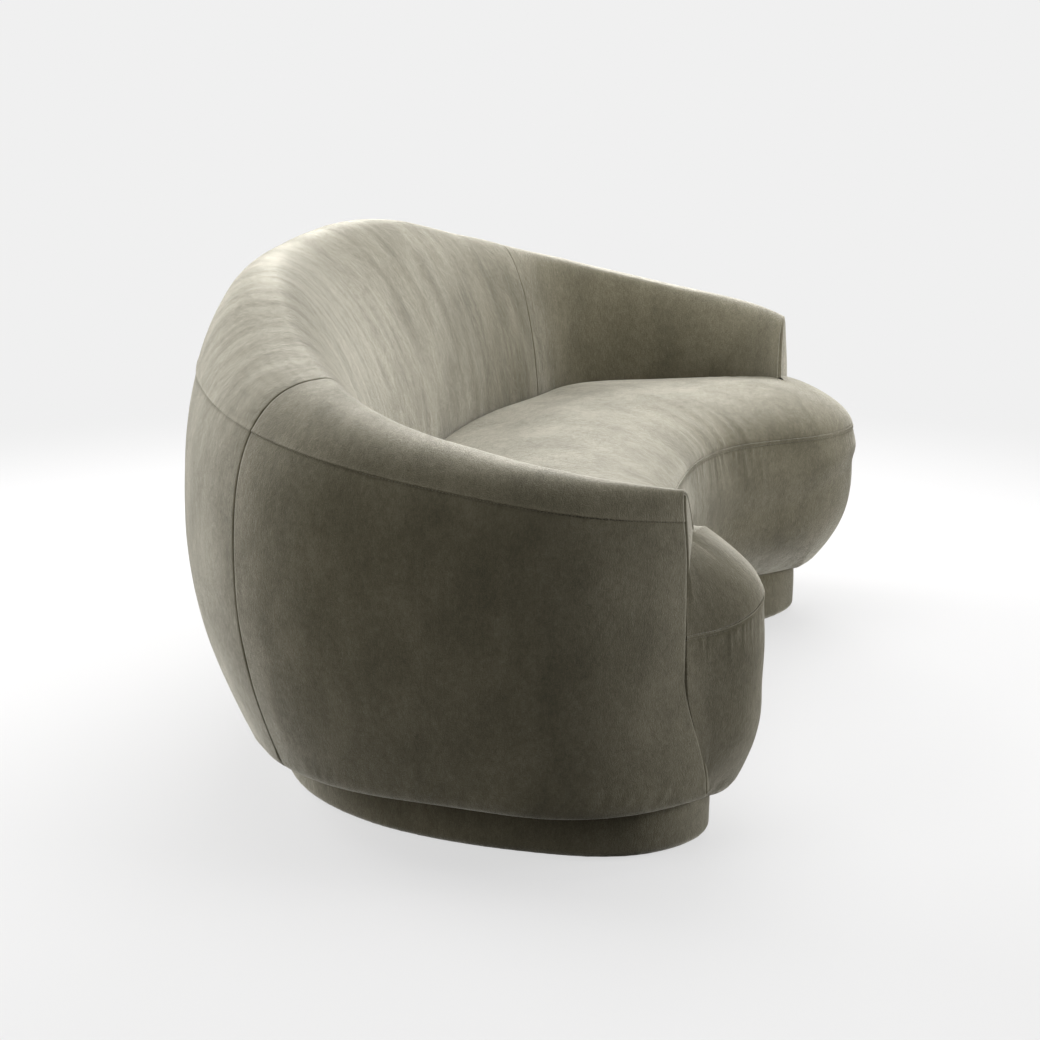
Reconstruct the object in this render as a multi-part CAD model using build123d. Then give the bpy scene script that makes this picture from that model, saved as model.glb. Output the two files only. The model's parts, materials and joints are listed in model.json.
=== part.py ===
from build123d import *
import os
from math import cos, hypot, pi, sin

os.makedirs("parts", exist_ok=True)

# A compact curved sofa with one wrap-round back and arms, a tight kidney-shaped seat and a
# recessed upholstered plinth. Millimetres, +Z up, the sitter faces -Y, and the origin is on
# the floor under the middle of the whole sofa. "left" is the sitter's left, at +X.

# ---------------------------------------------------------------- driving dimensions
sofa_width = 1800.0
half_width = sofa_width / 2
back_y = 500.0              # rearmost point of the bulged back
widest_y = -63.0            # where the sofa is widest
arm_front_y = -376.0        # front face of the arms
plan_power = 2.52           # superellipse power of the back's plan
arm_turn_in = 158.0         # how far an arm's front end turns inwards
arm_turn_power = 2.9

body_bottom = 94.0          # underside of the upholstered body
bulge_height = 429.0        # height of the fullest line of the outer face
outer_power = 2.6           # how square the rolled top is on the outside
tuck_power = 2.4
tuck_at_back = 110.0        # how far the outer face tucks in below the bulge

junction = 0.53             # place of the back-to-arm seams, as a share of the half plan
crest_heights = ((0.0, 772.0), (0.22, 767.0), (0.42, 714.0), (0.70, 633.0), (1.0, 549.0))
crest_insets = ((0.0, 90.0), (0.25, 135.0), (0.5, 158.0), (0.75, 118.0), (1.0, 13.0))
seam_heights = ((0.0, 640.0), (0.3, 641.0), (0.53, 618.0), (0.75, 571.0), (1.0, 508.0))
wall_widths = ((0.0, 310.0), (0.35, 308.0), (0.53, 288.0), (0.75, 196.0), (0.88, 162.0), (1.0, 115.0))
inner_foot = 400.0          # height where the inner face becomes upright

seat_front = ((0.0, -262.0), (190.0, -268.0), (318.0, -304.0), (430.0, -388.0),
              (540.0, -467.0), (640.0, -492.0), (716.0, -456.0), (748.0, -392.0))
seam_height_middle = 374.0
seam_height_lobe = 346.0
crown_height = 447.0
crown_reach = 190.0         # width of the rolled front edge
border_tuck = 92.0
border_full_height = 232.0  # the border hangs plumb above this height
border_power = 2.6
border_bulge = 7.0
corner_t = 0.66             # share of the seat's half front that lies inside the arms

plinth_line = ((0.0, 338.0), (300.0, 328.0), (527.0, 270.0), (700.0, 112.0), (784.0, -150.0),
               (758.0, -319.0), (641.0, -394.0), (500.0, -346.0), (330.0, -228.0), (0.0, -150.0))
glide_height = 6.0
plinth_top = body_bottom    # the plinth carries the base board
board = 18.0                # plywood thickness
velvet = 2.2                # cover with its backing cloth
wadding = 8.0
gap = 1.0                   # clearance between soft layers
base_top = body_bottom + board


# ---------------------------------------------------------------- curves
def through(knots, u):
    """A smooth value through a few (place, value) pairs, even about place 0."""
    u = min(abs(u), knots[-1][0])
    for k in range(len(knots) - 1):
        if u <= knots[k + 1][0]:
            break

    def slope(i):
        if i == 0:
            return 0.0
        if i == len(knots) - 1:
            i0, i1 = i - 1, i
        else:
            i0, i1 = i - 1, i + 1
        return (knots[i1][1] - knots[i0][1]) / (knots[i1][0] - knots[i0][0])

    u0, v0 = knots[k]
    u1, v1 = knots[k + 1]
    step = u1 - u0
    f = (u - u0) / step
    rise = v1 - v0
    m0 = slope(k) * step
    m1 = slope(k + 1) * step
    return v0 + m0 * f + (3 * rise - 2 * m0 - m1) * f**2 + (m0 + m1 - 2 * rise) * f**3


def smooth_step(f):
    f = min(max(f, 0.0), 1.0)
    return f * f * (3 - 2 * f)


def mirrored(points):
    """A half outline that starts on the middle line, made whole from left to right."""
    return [(-x, y) for x, y in reversed(points[1:])] + list(points)


def plan_raw(t):
    """Half plan of the bulge line: t 0..1 round the back, then on along the arm."""
    if t <= 1:
        angle = t * pi / 2
        x = half_width * sin(angle) ** (2 / plan_power)
        y = widest_y + (back_y - widest_y) * cos(angle) ** (2 / plan_power)
        return x, y
    run = t - 1
    return half_width - arm_turn_in * run**arm_turn_power, widest_y + (arm_front_y - widest_y) * run


PLAN_STEPS = 400
plan_points = [plan_raw(i / PLAN_STEPS) for i in range(PLAN_STEPS)] + [
    plan_raw(1 + i / PLAN_STEPS) for i in range(int(1.25 * PLAN_STEPS))]
plan_lengths = [0.0]
for (xa, ya), (xb, yb) in zip(plan_points, plan_points[1:]):
    plan_lengths.append(plan_lengths[-1] + hypot(xb - xa, yb - ya))
half_plan_length = plan_lengths[2 * PLAN_STEPS]


def plan_at(length):
    """Point of the half plan at a length from the middle of the back."""
    low, high = 0, len(plan_lengths) - 1
    while high - low > 1:
        mid = (low + high) // 2
        if plan_lengths[mid] <= length:
            low = mid
        else:
            high = mid
    f = (length - plan_lengths[low]) / (plan_lengths[high] - plan_lengths[low])
    xa, ya = plan_points[low]
    xb, yb = plan_points[high]
    return xa + f * (xb - xa), ya + f * (yb - ya)


def plan(u):
    """Bulge line at u (-1 to 1 between the arm fronts) and the direction across the wall."""
    side = -1.0 if u < 0 else 1.0
    length = abs(u) * half_plan_length
    x, y = plan_at(length)
    reach = 4.0
    if length < reach:
        nx, ny = 0.0, 1.0
    else:
        xa, ya = plan_at(length - reach)
        xb, yb = plan_at(length + reach)
        span = hypot(xb - xa, yb - ya)
        nx, ny = (ya - yb) / span, (xb - xa) / span
    turn = smooth_step((abs(u) - 0.65) / 0.28)
    nx, ny = nx * (1 - turn) + turn, ny * (1 - turn)
    size = hypot(nx, ny)
    return side * x, y, side * nx / size, ny / size


# ---------------------------------------------------------------- the wrap-round wall
def wall_outline(u, q):
    """Skin of the wall across the plan at u. q 0..1 is the tuck below the bulge, 1..2 the
    outside up to the crest, 2..3 the inner slope and 3..4 its upright foot."""
    crest = through(crest_heights, u)
    inset = through(crest_insets, u)
    width = through(wall_widths, u)
    if q <= 1:
        down = 1 - q
        tuck = tuck_at_back * (1 - min(abs(u), 1) ** 2)
        return -tuck * down**tuck_power, bulge_height - down * (bulge_height - body_bottom)
    if q <= 2:
        angle = (q - 1) * pi / 2
        rise = sin(angle) ** (2 / outer_power)
        back = 1 - cos(angle) ** (2 / outer_power) if q < 2 else 1.0
        return -inset * back, bulge_height + (crest - bulge_height) * rise
    if q <= 3:
        f = q - 2
        handle = 0.34 * (width - inset)
        drop = 0.57 * (crest - inner_foot)
        r = (-inset * (1 - f) ** 3 - (inset + handle) * 3 * f * (1 - f) ** 2
             - (width - 5) * 3 * f**2 * (1 - f) - width * f**3)
        z = (crest * ((1 - f) ** 3 + 3 * f * (1 - f) ** 2)
             + (inner_foot + drop) * 3 * f**2 * (1 - f) + inner_foot * f**3)
        return r, z
    return -width, inner_foot - (q - 3) * (inner_foot - base_top)


def wall_point(u, q, depth):
    """wall_outline moved inwards, square to the skin, by depth."""
    r0, z0 = wall_outline(u, max(q - 0.02, 0.0))
    r1, z1 = wall_outline(u, min(q + 0.02, 4.0))
    r, z = wall_outline(u, q)
    size = hypot(r1 - r0, z1 - z0)
    return r - depth * (z1 - z0) / size, z + depth * (r1 - r0) / size


def seam_q(u):
    """q of the sewn seam that runs round the outside under the roll."""
    crest = through(crest_heights, u)
    share = (through(seam_heights, u) - bulge_height) / (crest - bulge_height)
    low, high = 1.0, 2.0
    for _ in range(30):
        q = (low + high) / 2
        if sin((q - 1) * pi / 2) ** (2 / outer_power) < share:
            low = q
        else:
            high = q
    return low


def on_wall(u, r, z):
    x, y, nx, ny = plan(u)
    return Vector(x + nx * r, y + ny * r, z)


def spread(a, b, n):
    return [a + (b - a) * i / (n - 1) for i in range(n)]


def loop_of(outward, back):
    """A closed wire from two smooth lines that run opposite ways."""
    first = Spline(*outward) if len(outward) > 2 else Line(*outward)
    second = Spline(*back) if len(back) > 2 else Line(*back)
    return Wire([first, Line(first @ 1, second @ 0), second, Line(second @ 1, first @ 0)])


def skin_strip(places, q_from, q_to, depth_out, depth_in, n=13):
    """A layer that follows the wall's skin between two depths, lofted through places."""
    wires = []
    for u in places:
        a = q_from(u) if callable(q_from) else q_from
        b = q_to(u) if callable(q_to) else q_to
        qs = spread(a, b, n)
        outside = [on_wall(u, *wall_point(u, q, depth_out)) for q in qs]
        inside = [on_wall(u, *wall_point(u, q, depth_in)) for q in reversed(qs)]
        wires.append(loop_of(outside, inside))
    return Solid.make_loft(wires)


def wall_block(places, depth, bottom):
    """The wall's whole section, standing at a height, at a depth inside the skin."""
    wires = []
    for u in places:
        low_q = 1 - (bulge_height - bottom) / (bulge_height - body_bottom)
        outside = [on_wall(u, *wall_point(u, q, depth)) for q in spread(low_q, 2.0, 12)]
        inside = [on_wall(u, *wall_point(u, q, depth)) for q in spread(2.0, 3.0, 8)]
        outside[0] = on_wall(u, wall_point(u, low_q, depth)[0], bottom)
        foot = on_wall(u, wall_point(u, 3.5, depth)[0], bottom)
        over = Spline(*(outside + inside[1:]))
        drop = Line(over @ 1, foot)
        wires.append(Wire([over, drop, Line(foot, over @ 0)]))
    return Solid.make_loft(wires, ruled=len(wires) == 2)


def behind_front(depth):
    """Place on the plan at a distance behind the arms' flat front faces."""
    low, high = 0.9, 1.0
    for _ in range(40):
        u = (low + high) / 2
        if plan(u)[1] > arm_front_y + depth:
            low = u
        else:
            high = u
    return high


def arm_places(side, depth, n=10):
    """Stations along an arm, from the back's seam to a distance behind its front face. side is
    1 for the sitter's left and -1 for the right."""
    return [side * u for u in spread(junction + 0.0003, behind_front(depth), n)]


back_places = spread(-junction + 0.0003, junction - 0.0003, 15)


def flipped(shape):
    return mirror(shape, about=Plane.YZ)


def save(name, *shapes):
    solids = []
    for shape in shapes:
        solids += list(shape.solids())
    export_step(solids[0] if len(solids) == 1 else Compound(children=solids), f"parts/{name}.step")
    print(name, len(solids), round(sum(s.volume for s in solids) / 1000, 1), "cm3")


def both_arms(name, build):
    """Builds and saves a piece for each arm: build takes the side, 1 or -1."""
    save(name + "_left", build(1))
    save(name + "_right", build(-1))


# ---------------------------------------------------------------- covers of the wall
seam_step = 0.004
back_inner_cover = skin_strip(back_places, lambda u: seam_q(u) + seam_step, 3.9, 0.0, velvet, 17)
save("back_inner_cover", back_inner_cover)
back_outer_cover = skin_strip(back_places, 0.0, lambda u: seam_q(u) - seam_step, 0.0, velvet)
save("back_outer_cover", back_outer_cover)
both_arms("arm_inner_cover", lambda side: skin_strip(
    arm_places(side, 0.0), lambda u: seam_q(u) + seam_step, 3.9, 0.0, velvet, 17))
both_arms("arm_outer_cover", lambda side: skin_strip(
    arm_places(side, 0.0), 0.0, lambda u: seam_q(u) - seam_step, 0.0, velvet))


# ---------------------------------------------------------------- padding of the wall
wadding_out = velvet + gap
wadding_in = velvet + wadding
foam_depth = wadding_in + gap
post_front = foam_depth
post_back = post_front + board

save("back_wadding", skin_strip(back_places, 0.02, 3.9, wadding_out, wadding_in, 25))
both_arms("arm_wadding", lambda side: skin_strip(
    arm_places(side, wadding_in), 0.02, 3.9, wadding_out, wadding_in, 25))


def front_slice(side, depth_front, depth_back, depth, bottom):
    """A slice of the arm's section between two distances behind its front face."""
    places = [side * behind_front(depth_back), side * behind_front(depth_front)]
    return wall_block(places, depth, bottom)


both_arms("arm_facing", lambda side: front_slice(side, 0.0, velvet, wadding_out, base_top + gap))
both_arms("arm_facing_pad", lambda side: front_slice(
    side, velvet + gap, wadding_in - gap, wadding_out, base_top + gap))
# the room that an arm takes, with a little air: the seat's foam is cut back to it
arm_room = {side: wall_block(arm_places(side, -0.5), -0.8, body_bottom - 5) for side in (1, -1)}


# ---------------------------------------------------------------- frame inside the wall
rail_width = 40.0
rail_drop = 64.0            # top rail below the crest
rib_clear = 22.0            # from the outer skin to a rib
rib_inner = 75.0            # from the sitter's skin to a rib
belt_low, belt_high = 230.0, 300.0
belt_thickness = 12.0
cavity_outer = 19.0         # thickness of cover, wadding and foam outside the frame
cavity_inner = 60.0         # the same on the sitter's side


def outer_r(u, z):
    """Outer skin of the wall at a height."""
    crest = through(crest_heights, u)
    if z <= bulge_height:
        down = (bulge_height - z) / (bulge_height - body_bottom)
        return -tuck_at_back * (1 - min(abs(u), 1) ** 2) * down**tuck_power
    share = (z - bulge_height) / (crest - bulge_height)
    return -through(crest_insets, u) * (1 - (1 - share**outer_power) ** (1 / outer_power))


def rail_r(u):
    """Middle of the top rail: under the crest, and well inside the thin arm fronts."""
    return -hypot(through(crest_insets, u), 45.0)


def foam_block(places):
    """Foam over the hollow frame: the wall's section less the space that the frame takes."""
    bottom = base_top + gap
    low_q = 1 - (bulge_height - bottom) / (bulge_height - body_bottom)
    wires = []
    for u in places:
        outside = [on_wall(u, *wall_point(u, q, foam_depth)) for q in spread(low_q, 2.0, 11)]
        inside = [on_wall(u, *wall_point(u, q, foam_depth)) for q in spread(2.0, 3.0, 8)]
        outside[0] = on_wall(u, wall_point(u, low_q, foam_depth)[0], bottom)
        over = Spline(*(outside + inside[1:]))
        width = through(wall_widths, u)
        roof = through(crest_heights, u) - rail_drop + 5
        mid = rail_r(u)
        half = rail_width / 2 + 5
        hollow = [(cavity_inner - width, bottom), (cavity_inner - width, inner_foot - 30),
                  (mid - half, roof - 25), (mid - half, roof), (mid + half, roof),
                  (outer_r(u, roof - 45) - cavity_outer, roof - 45)]
        hollow += [(outer_r(u, z) - cavity_outer, z) for z in spread(roof - 45, bulge_height, 5)[1:]]
        hollow += [(outer_r(u, z) - cavity_outer, z) for z in (300.0, 200.0, bottom)]
        corners = [on_wall(u, r, z) for r, z in hollow]
        foot = on_wall(u, wall_point(u, 3.5, foam_depth)[0], bottom)
        path = Polyline(*([over @ 1, foot] + corners + [over @ 0]))
        wires.append(Wire([over] + list(path.edges())))
    return Solid.make_loft(wires)


def rib(u):
    """A plywood rib that stands on the base board across the wall."""
    top = through(crest_heights, u) - rail_drop - board / 2
    width = through(wall_widths, u)
    heights = spread(base_top, top - 45, 5)
    points = [(outer_r(u, z) - rib_clear, z) for z in heights]
    points += [(rail_r(u) + rail_width / 2, top), (rail_r(u) - rail_width / 2, top),
               (rib_inner - width, inner_foot - 40), (rib_inner - width, base_top)]
    x, y, nx, ny = plan(u)
    flat = Plane(origin=(x, y, 0), x_dir=(nx, ny, 0), z_dir=(ny, -nx, 0))
    face = Face(Wire(Polyline(*points, close=True).edges()))
    return extrude(flat * face, board / 2, both=True)


def rail(places, section):
    """A bent rail through places; section gives its four corners at each."""
    wires = []
    for u in places:
        corners = [on_wall(u, r, z) for r, z in section(u)]
        wires.append(Wire(Polyline(*corners, close=True).edges()))
    return Solid.make_loft(wires)


def top_rail_section(u):
    top = through(crest_heights, u) - rail_drop
    outer, inner = rail_r(u) + rail_width / 2, rail_r(u) - rail_width / 2
    return (outer, top), (inner, top), (inner, top - board), (outer, top - board)


def belt_rail_section(u):
    """Level with the seat springs, on the ribs' inner edges."""
    outer = rib_inner - 0.5 - through(wall_widths, u)
    inner = outer - belt_thickness
    return (outer, belt_high), (inner, belt_high), (inner, belt_low), (outer, belt_low)


def frame_screw(x, y):
    """A countersunk screw up through the base board into the foot of a rib."""
    low = (Align.CENTER, Align.CENTER, Align.MIN)
    shank = Pos(x, y, body_bottom + 4) * Cylinder(2.5, 52, align=low)
    head = Pos(x, y, body_bottom + 1) * Cylinder(5, 3, align=low)
    return (shank + head).solid()


def screws_of(places):
    made = []
    for u in places:
        x, y, nx, ny = plan(u)
        outer = outer_r(u, base_top) - rib_clear - 14
        inner = rib_inner - through(wall_widths, u) + 14
        made += [frame_screw(x + nx * r, y + ny * r) for r in (outer, inner)]
    return made


back_rib_places = spread(-0.46, 0.46, 7)
arm_rib_places = (0.60, 0.74, 0.87)
back_screws = screws_of(back_rib_places)
arm_screws = screws_of(arm_rib_places)
all_screws = back_screws + arm_screws + [flipped(screw) for screw in arm_screws]
save("frame_screws", *all_screws)

back_rail_places = spread(-junction + 0.004, junction - 0.004, 13)
arm_rail_places = spread(junction + 0.004, behind_front(post_back + gap), 8)


def arm_rail(side, section):
    return rail([side * u for u in arm_rail_places], section)


back_top_rail = rail(back_rail_places, top_rail_section)
save("back_top_rail", back_top_rail)
back_belt_rail = rail(back_rail_places, belt_rail_section)
save("back_belt_rail", back_belt_rail)
both_arms("arm_top_rail", lambda side: arm_rail(side, top_rail_section))
both_arms("arm_belt_rail", lambda side: arm_rail(side, belt_rail_section))

back_ribs = [rib(u) - back_top_rail - back_belt_rail for u in back_rib_places]
back_ribs = [r - back_screws[2 * i: 2 * i + 2] for i, r in enumerate(back_ribs)]
save("back_ribs", *back_ribs)
arm_ribs = [rib(u) - arm_rail(1, top_rail_section) - arm_rail(1, belt_rail_section) for u in arm_rib_places]
arm_ribs = [r - arm_screws[2 * i: 2 * i + 2] for i, r in enumerate(arm_ribs)]
save("arm_ribs", *arm_ribs, *[flipped(r) for r in arm_ribs])



def front_post(side):
    """A flat board behind the facing, cut to the arm's outline."""
    front, back = behind_front(post_front), behind_front(post_back)
    inner = plan(back)[0] - through(wall_widths, back) + foam_depth
    outer = plan(front)[0] - foam_depth
    shoulder = through(crest_heights, 1.0) - 50
    points = [(outer + outer_r(1.0, z), z) for z in spread(base_top + gap, shoulder, 7)]
    points += [(outer - 22, shoulder + 24), (inner, inner_foot), (inner, base_top + gap)]
    corners = [Vector(side * x, arm_front_y + post_front, z) for x, z in points]
    return extrude(Face(Wire(Polyline(*corners, close=True).edges())), board, dir=(0, 1, 0))


both_arms("arm_front_post", front_post)
both_arms("arm_foam", lambda side: foam_block(arm_places(side, post_back + gap)))
save("back_foam", foam_block(back_places))


# ---------------------------------------------------------------- the seat's outline and skin
seat_line = Spline(*[Vector(x, y) for x, y in mirrored(seat_front)])
wall_gap = 2.0              # between the seat and the wall behind it
front_x_inner = plan(1.0)[0] - wall_widths[-1][1]
front_x_outer = plan(1.0)[0] - 4.0


def seat_span(t):
    """The straight run across the seat at t (-1 to 1): its front point, its direction, its
    length, and how square it stands to the front edge."""
    share = abs(t)
    front = seat_line @ ((1 + share) / 2)
    along = seat_line % ((1 + share) / 2)
    if share <= corner_t:
        u = share / corner_t
        x, y, nx, ny = plan(u)
        r = -through(wall_widths, u) - wall_gap
        back = Vector(x + nx * r, y + ny * r)
    else:
        f = (share - corner_t) / (1 - corner_t)
        back = Vector(front_x_inner + f * (front_x_outer - front_x_inner), arm_front_y - wall_gap)
    run = back - front
    length = run.length
    run = run.normalized()
    square = max(run.X * -along.Y + run.Y * along.X, 0.45)
    side = -1.0 if t < 0 else 1.0
    return Vector(side * front.X, front.Y), Vector(side * run.X, run.Y), length, square


def seam_z(t):
    return seam_height_middle + (seam_height_lobe - seam_height_middle) * smooth_step(abs(t) / 0.7)


def seat_outline(t, v, length, square):
    """Skin of the seat across its span. v 0..1 climbs the border, 1..2 goes over the top."""
    seam = seam_z(t)
    if v <= 1:
        z = body_bottom + v * (seam - body_bottom)
        tuck = border_tuck * (1 - 0.35 * smooth_step((abs(t) - 0.75) / 0.25)) / square
        if z < border_full_height:
            share = (border_full_height - z) / (border_full_height - body_bottom)
            return min(tuck, 0.75 * length) * share**border_power, z
        share = (seam - z) / (seam - border_full_height)
        return -border_bulge * sin(pi * share) ** 2, z
    rho = length * (1 - cos((v - 1) * pi / 2))
    roll = min(rho * square / crown_reach, 1.0)
    drop = 24 * (1 - min(abs(t) / corner_t, 1.0) ** 2)
    z = seam + (crown_height - seam) * (1 - (1 - roll) ** 2) ** 0.5
    return rho, z - drop * smooth_step((rho / length - 0.55) / 0.45)


def seat_point(t, v, depth, span):
    front, run, length, square = span
    r0, z0 = seat_outline(t, max(v - 0.01, 0.0), length, square)
    r1, z1 = seat_outline(t, min(v + 0.01, 2.0), length, square)
    r, z = seat_outline(t, v, length, square)
    size = hypot(r1 - r0, z1 - z0)
    return r + depth * (z1 - z0) / size, z - depth * (r1 - r0) / size


def on_seat(span, rho, z):
    front, run = span[0], span[1]
    return Vector(front.X + run.X * rho, front.Y + run.Y * rho, z)


def seat_strip(places, v_from, v_to, depth_out, depth_in, n=9):
    """A layer that follows the seat's skin between two depths, lofted through places."""
    wires = []
    for t in places:
        span = seat_span(t)
        a = v_from(t) if callable(v_from) else v_from
        b = v_to(t) if callable(v_to) else v_to
        vs = spread(a, b, n)
        outside = [on_seat(span, *seat_point(t, v, depth_out, span)) for v in vs]
        inside = [on_seat(span, *seat_point(t, v, depth_in, span)) for v in reversed(vs)]
        wires.append(loop_of(outside, inside))
    return Solid.make_loft(wires)


def border_v(z):
    """The place on the border at a height."""
    return lambda t: (z - body_bottom) / (seam_z(t) - body_bottom)


def beside_seam(offset):
    """The place on the skin a little below (negative) or above the seam."""
    return lambda t: (seam_z(t) + offset - body_bottom) / (seam_z(t) - body_bottom)


def span_line(rho_front, t_end, n, from_wall=False):
    """Plan points along the seat, at an offset from its front edge or from the wall."""
    points = []
    for t in spread(-t_end, t_end, n):
        span = seat_span(t)
        rho = span[2] - rho_front if from_wall else rho_front / span[3]
        points.append(on_seat(span, rho, 0))
    return points


def slab_between(front, back, low, high):
    """A flat plate between two smooth plan lines that run the same way."""
    face = Face(loop_of(front, list(reversed(back))))
    return Pos(0, 0, low) * extrude(face, high - low, dir=(0, 0, 1))


seat_places = spread(-0.985, 0.985, 31)
inner_t = corner_t - 0.012
inner_places = spread(-inner_t, inner_t, 25)
lobe_places = spread(corner_t - 0.008, 0.955, 7)
welt_half = 3.0

seat_border_cover = seat_strip(seat_places, 0.0, beside_seam(-welt_half - 0.5), 0.0, velvet)
save("seat_border_cover", seat_border_cover)
save("seat_welt", seat_strip(seat_places, beside_seam(-welt_half), 1.012, -1.8, velvet, 4))
save("seat_top_cover", seat_strip(seat_places, 1.02, 2.0, 0.0, velvet, 13))
save("seat_wadding", seat_strip(seat_places, 1.03, 2.0, wadding_out, wadding_in, 13))

# ---------------------------------------------------------------- seat padding
core_low, core_high = 266.0, 338.0
border_foam_in = 38.0
border_foam = seat_strip(inner_places, border_v(base_top + gap), border_v(core_high - 1),
                         velvet + gap, border_foam_in)
save("seat_border_foam", border_foam)


def topper_wire(t):
    """Soft foam over the core and over its front edge."""
    span = seat_span(t)
    top = Spline(*[on_seat(span, *seat_point(t, v, foam_depth, span)) for v in spread(1.03, 2.0, 11)])
    back = on_seat(span, span[2], core_high + gap)
    front = on_seat(span, foam_depth + 2, core_high + gap)
    return Wire([top, Line(top @ 1, back), Line(back, front), Line(front, top @ 0)])


def lobe_wire(t):
    """The padding in front of an arm: from the border over the top to the arm's face."""
    span = seat_span(t)
    vs = spread(border_v(base_top + gap)(t), 0.99, 6) + spread(1.05, 2.0, 7)
    points = [seat_point(t, v, foam_depth, span) for v in vs]
    over = Spline(*[on_seat(span, min(rho, span[2] - 8), z) for rho, z in points[:-1]],
                  on_seat(span, span[2], points[-1][1]))
    foot = on_seat(span, span[2], (over @ 0).Z)
    return Wire([over, Line(over @ 1, foot), Line(foot, over @ 0)])


beside_arm = [on_wall(u, -through(wall_widths, u) - 3.0, 0) for u in spread(0.62, 1.0, 9)]
within_arm = [on_wall(u, -through(wall_widths, u) + 50.0, 0) for u in spread(0.62, 1.0, 9)]
arm_side = slab_between(beside_arm, within_arm, core_high, crown_height + 20)
topper = Solid.make_loft([topper_wire(t) for t in inner_places])
save("seat_foam_topper", topper - arm_side - flipped(arm_side))
core_front = span_line(border_foam_in + 2, inner_t, 25)
core_back = span_line(2.0, inner_t, 25, from_wall=True)
save("seat_foam_core", slab_between(core_front, core_back, core_low, core_high))
insulator_back = span_line(6.0, inner_t, 25, from_wall=True)
save("spring_insulator", slab_between(core_front, insulator_back, 260.0, 265.0))
save("lobe_foam_left", Solid.make_loft([lobe_wire(t) for t in lobe_places]) - arm_room[1])
save("lobe_foam_right", Solid.make_loft([lobe_wire(-t) for t in lobe_places]) - arm_room[-1])

# ---------------------------------------------------------------- seat frame and springs
rail_high = 252.0
front_rail_in = 112.0       # from the seat's front edge to the bent front rail
back_rail_in = 26.0         # from the wall to the rail behind the springs
rail_thickness = 20.0
rail_t = 0.545


def bent_rail(outer, inner):
    return slab_between(outer, inner, base_top, rail_high)


front_rail_line = span_line(front_rail_in, rail_t, 21)
front_rail_back = span_line(front_rail_in + rail_thickness, rail_t, 21)
save("seat_front_rail", bent_rail(front_rail_line, front_rail_back))
back_rail_line = span_line(back_rail_in, rail_t, 21, from_wall=True)
back_rail_front = span_line(back_rail_in + rail_thickness, rail_t, 21, from_wall=True)
save("seat_back_rail", bent_rail(back_rail_front, back_rail_line))
side_a, side_b = front_rail_line[-1], back_rail_line[-1]
out = Vector(rail_thickness, 0, 0)
clear = Vector(1, 0, 0)
side_outline = Polyline(side_a + clear, side_a + clear + out, side_b + clear + out, side_b + clear, close=True)
side_rail = extrude(Face(Wire(side_outline.edges())), rail_high - base_top, dir=(0, 0, 1))
side_rail = Pos(0, 0, base_top) * side_rail
save("seat_side_rails", side_rail, flipped(side_rail))


def y_at(points, x):
    """Where a plan line that runs along X passes x."""
    for a, b in zip(points, points[1:]):
        if a.X <= x <= b.X:
            return a.Y + (b.Y - a.Y) * (x - a.X) / (b.X - a.X)


cross_rail_width = 24.0
cross_rail_high = 200.0
rail_bay = slab_between(span_line(front_rail_in + rail_thickness, rail_t, 41),
                        span_line(back_rail_in + rail_thickness, rail_t, 41, from_wall=True),
                        base_top, cross_rail_high)
cross_rails = [Pos(x, -80, base_top) * Box(cross_rail_width, 900, 200, align=(Align.CENTER, Align.CENTER, Align.MIN))
               for x in (-330, 0, 330)]
save("seat_cross_rails", *[(rail_bay & r) for r in cross_rails])

wire = 3.6                  # spring wire
spring_pitch = 24.0
spring_width = 48.0
spring_spacing = 104.0
clip_thickness = 1.6
spring_places = [spring_spacing * k for k in range(-4, 5)]


def sinuous_spring(x):
    """A flat zigzag spring between the middles of the front and back rails."""
    front = y_at(front_rail_line, x) + rail_thickness / 2
    back = y_at(back_rail_line, x) - rail_thickness / 2
    turns = int((back - front) / spring_pitch)
    start = (front + back) / 2 - turns * spring_pitch / 2
    shape = Sketch()
    for k in range(turns + 1):
        shape += Pos(x, start + k * spring_pitch) * Rectangle(spring_width, wire)
        if k < turns:
            side = 1 if k % 2 else -1
            shape += Pos(x + side * (spring_width - wire) / 2, start + (k + 0.5) * spring_pitch) * Rectangle(
                wire, spring_pitch)
    spring = extrude(shape, wire)
    clips = [Pos(x, y, rail_high + clip_thickness / 2) * Box(26, 14, clip_thickness)
             for y in (start, start + turns * spring_pitch)]
    return Pos(0, 0, rail_high + clip_thickness) * spring, clips


springs = [sinuous_spring(x) for x in spring_places]
save("sinuous_springs", *[spring for spring, _ in springs])
save("spring_clips", *[clip for _, clips in springs for clip in clips])

# ---------------------------------------------------------------- base board and plinth
base_inset = 12.0           # the board stays inside the covers and their wadding
board_back = []
for u in spread(-0.99, 0.99, 31):
    x, y, nx, ny = plan(u)
    r = outer_r(u, body_bottom) - base_inset
    board_back.append(Vector(x + nx * r, y + ny * r))
board_front = []
for t in spread(-0.90, 0.90, 31):
    span = seat_span(t)
    rho = seat_outline(t, 0.0, span[2], span[3])[0] + base_inset / span[3]
    board_front.append(on_seat(span, rho, 0))
base_board = slab_between(board_front, board_back, body_bottom, base_top)

plinth_curve = Spline(*[Vector(x, y) for x, y in mirrored(plinth_line)[1:]], periodic=True)


def plinth_area(inset):
    """The plinth's plan, moved inwards."""
    points = []
    for k in range(64):
        p, along = plinth_curve @ (k / 64), plinth_curve % (k / 64)
        points.append(Vector(p.X + along.Y * inset, p.Y - along.X * inset))
    return Face(Wire([Spline(*points, periodic=True)]))


def plinth_band(outer, inner, low, high):
    face = plinth_area(outer) - plinth_area(inner)
    return Pos(0, 0, low) * extrude(face, high - low, dir=(0, 0, 1))


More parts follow.
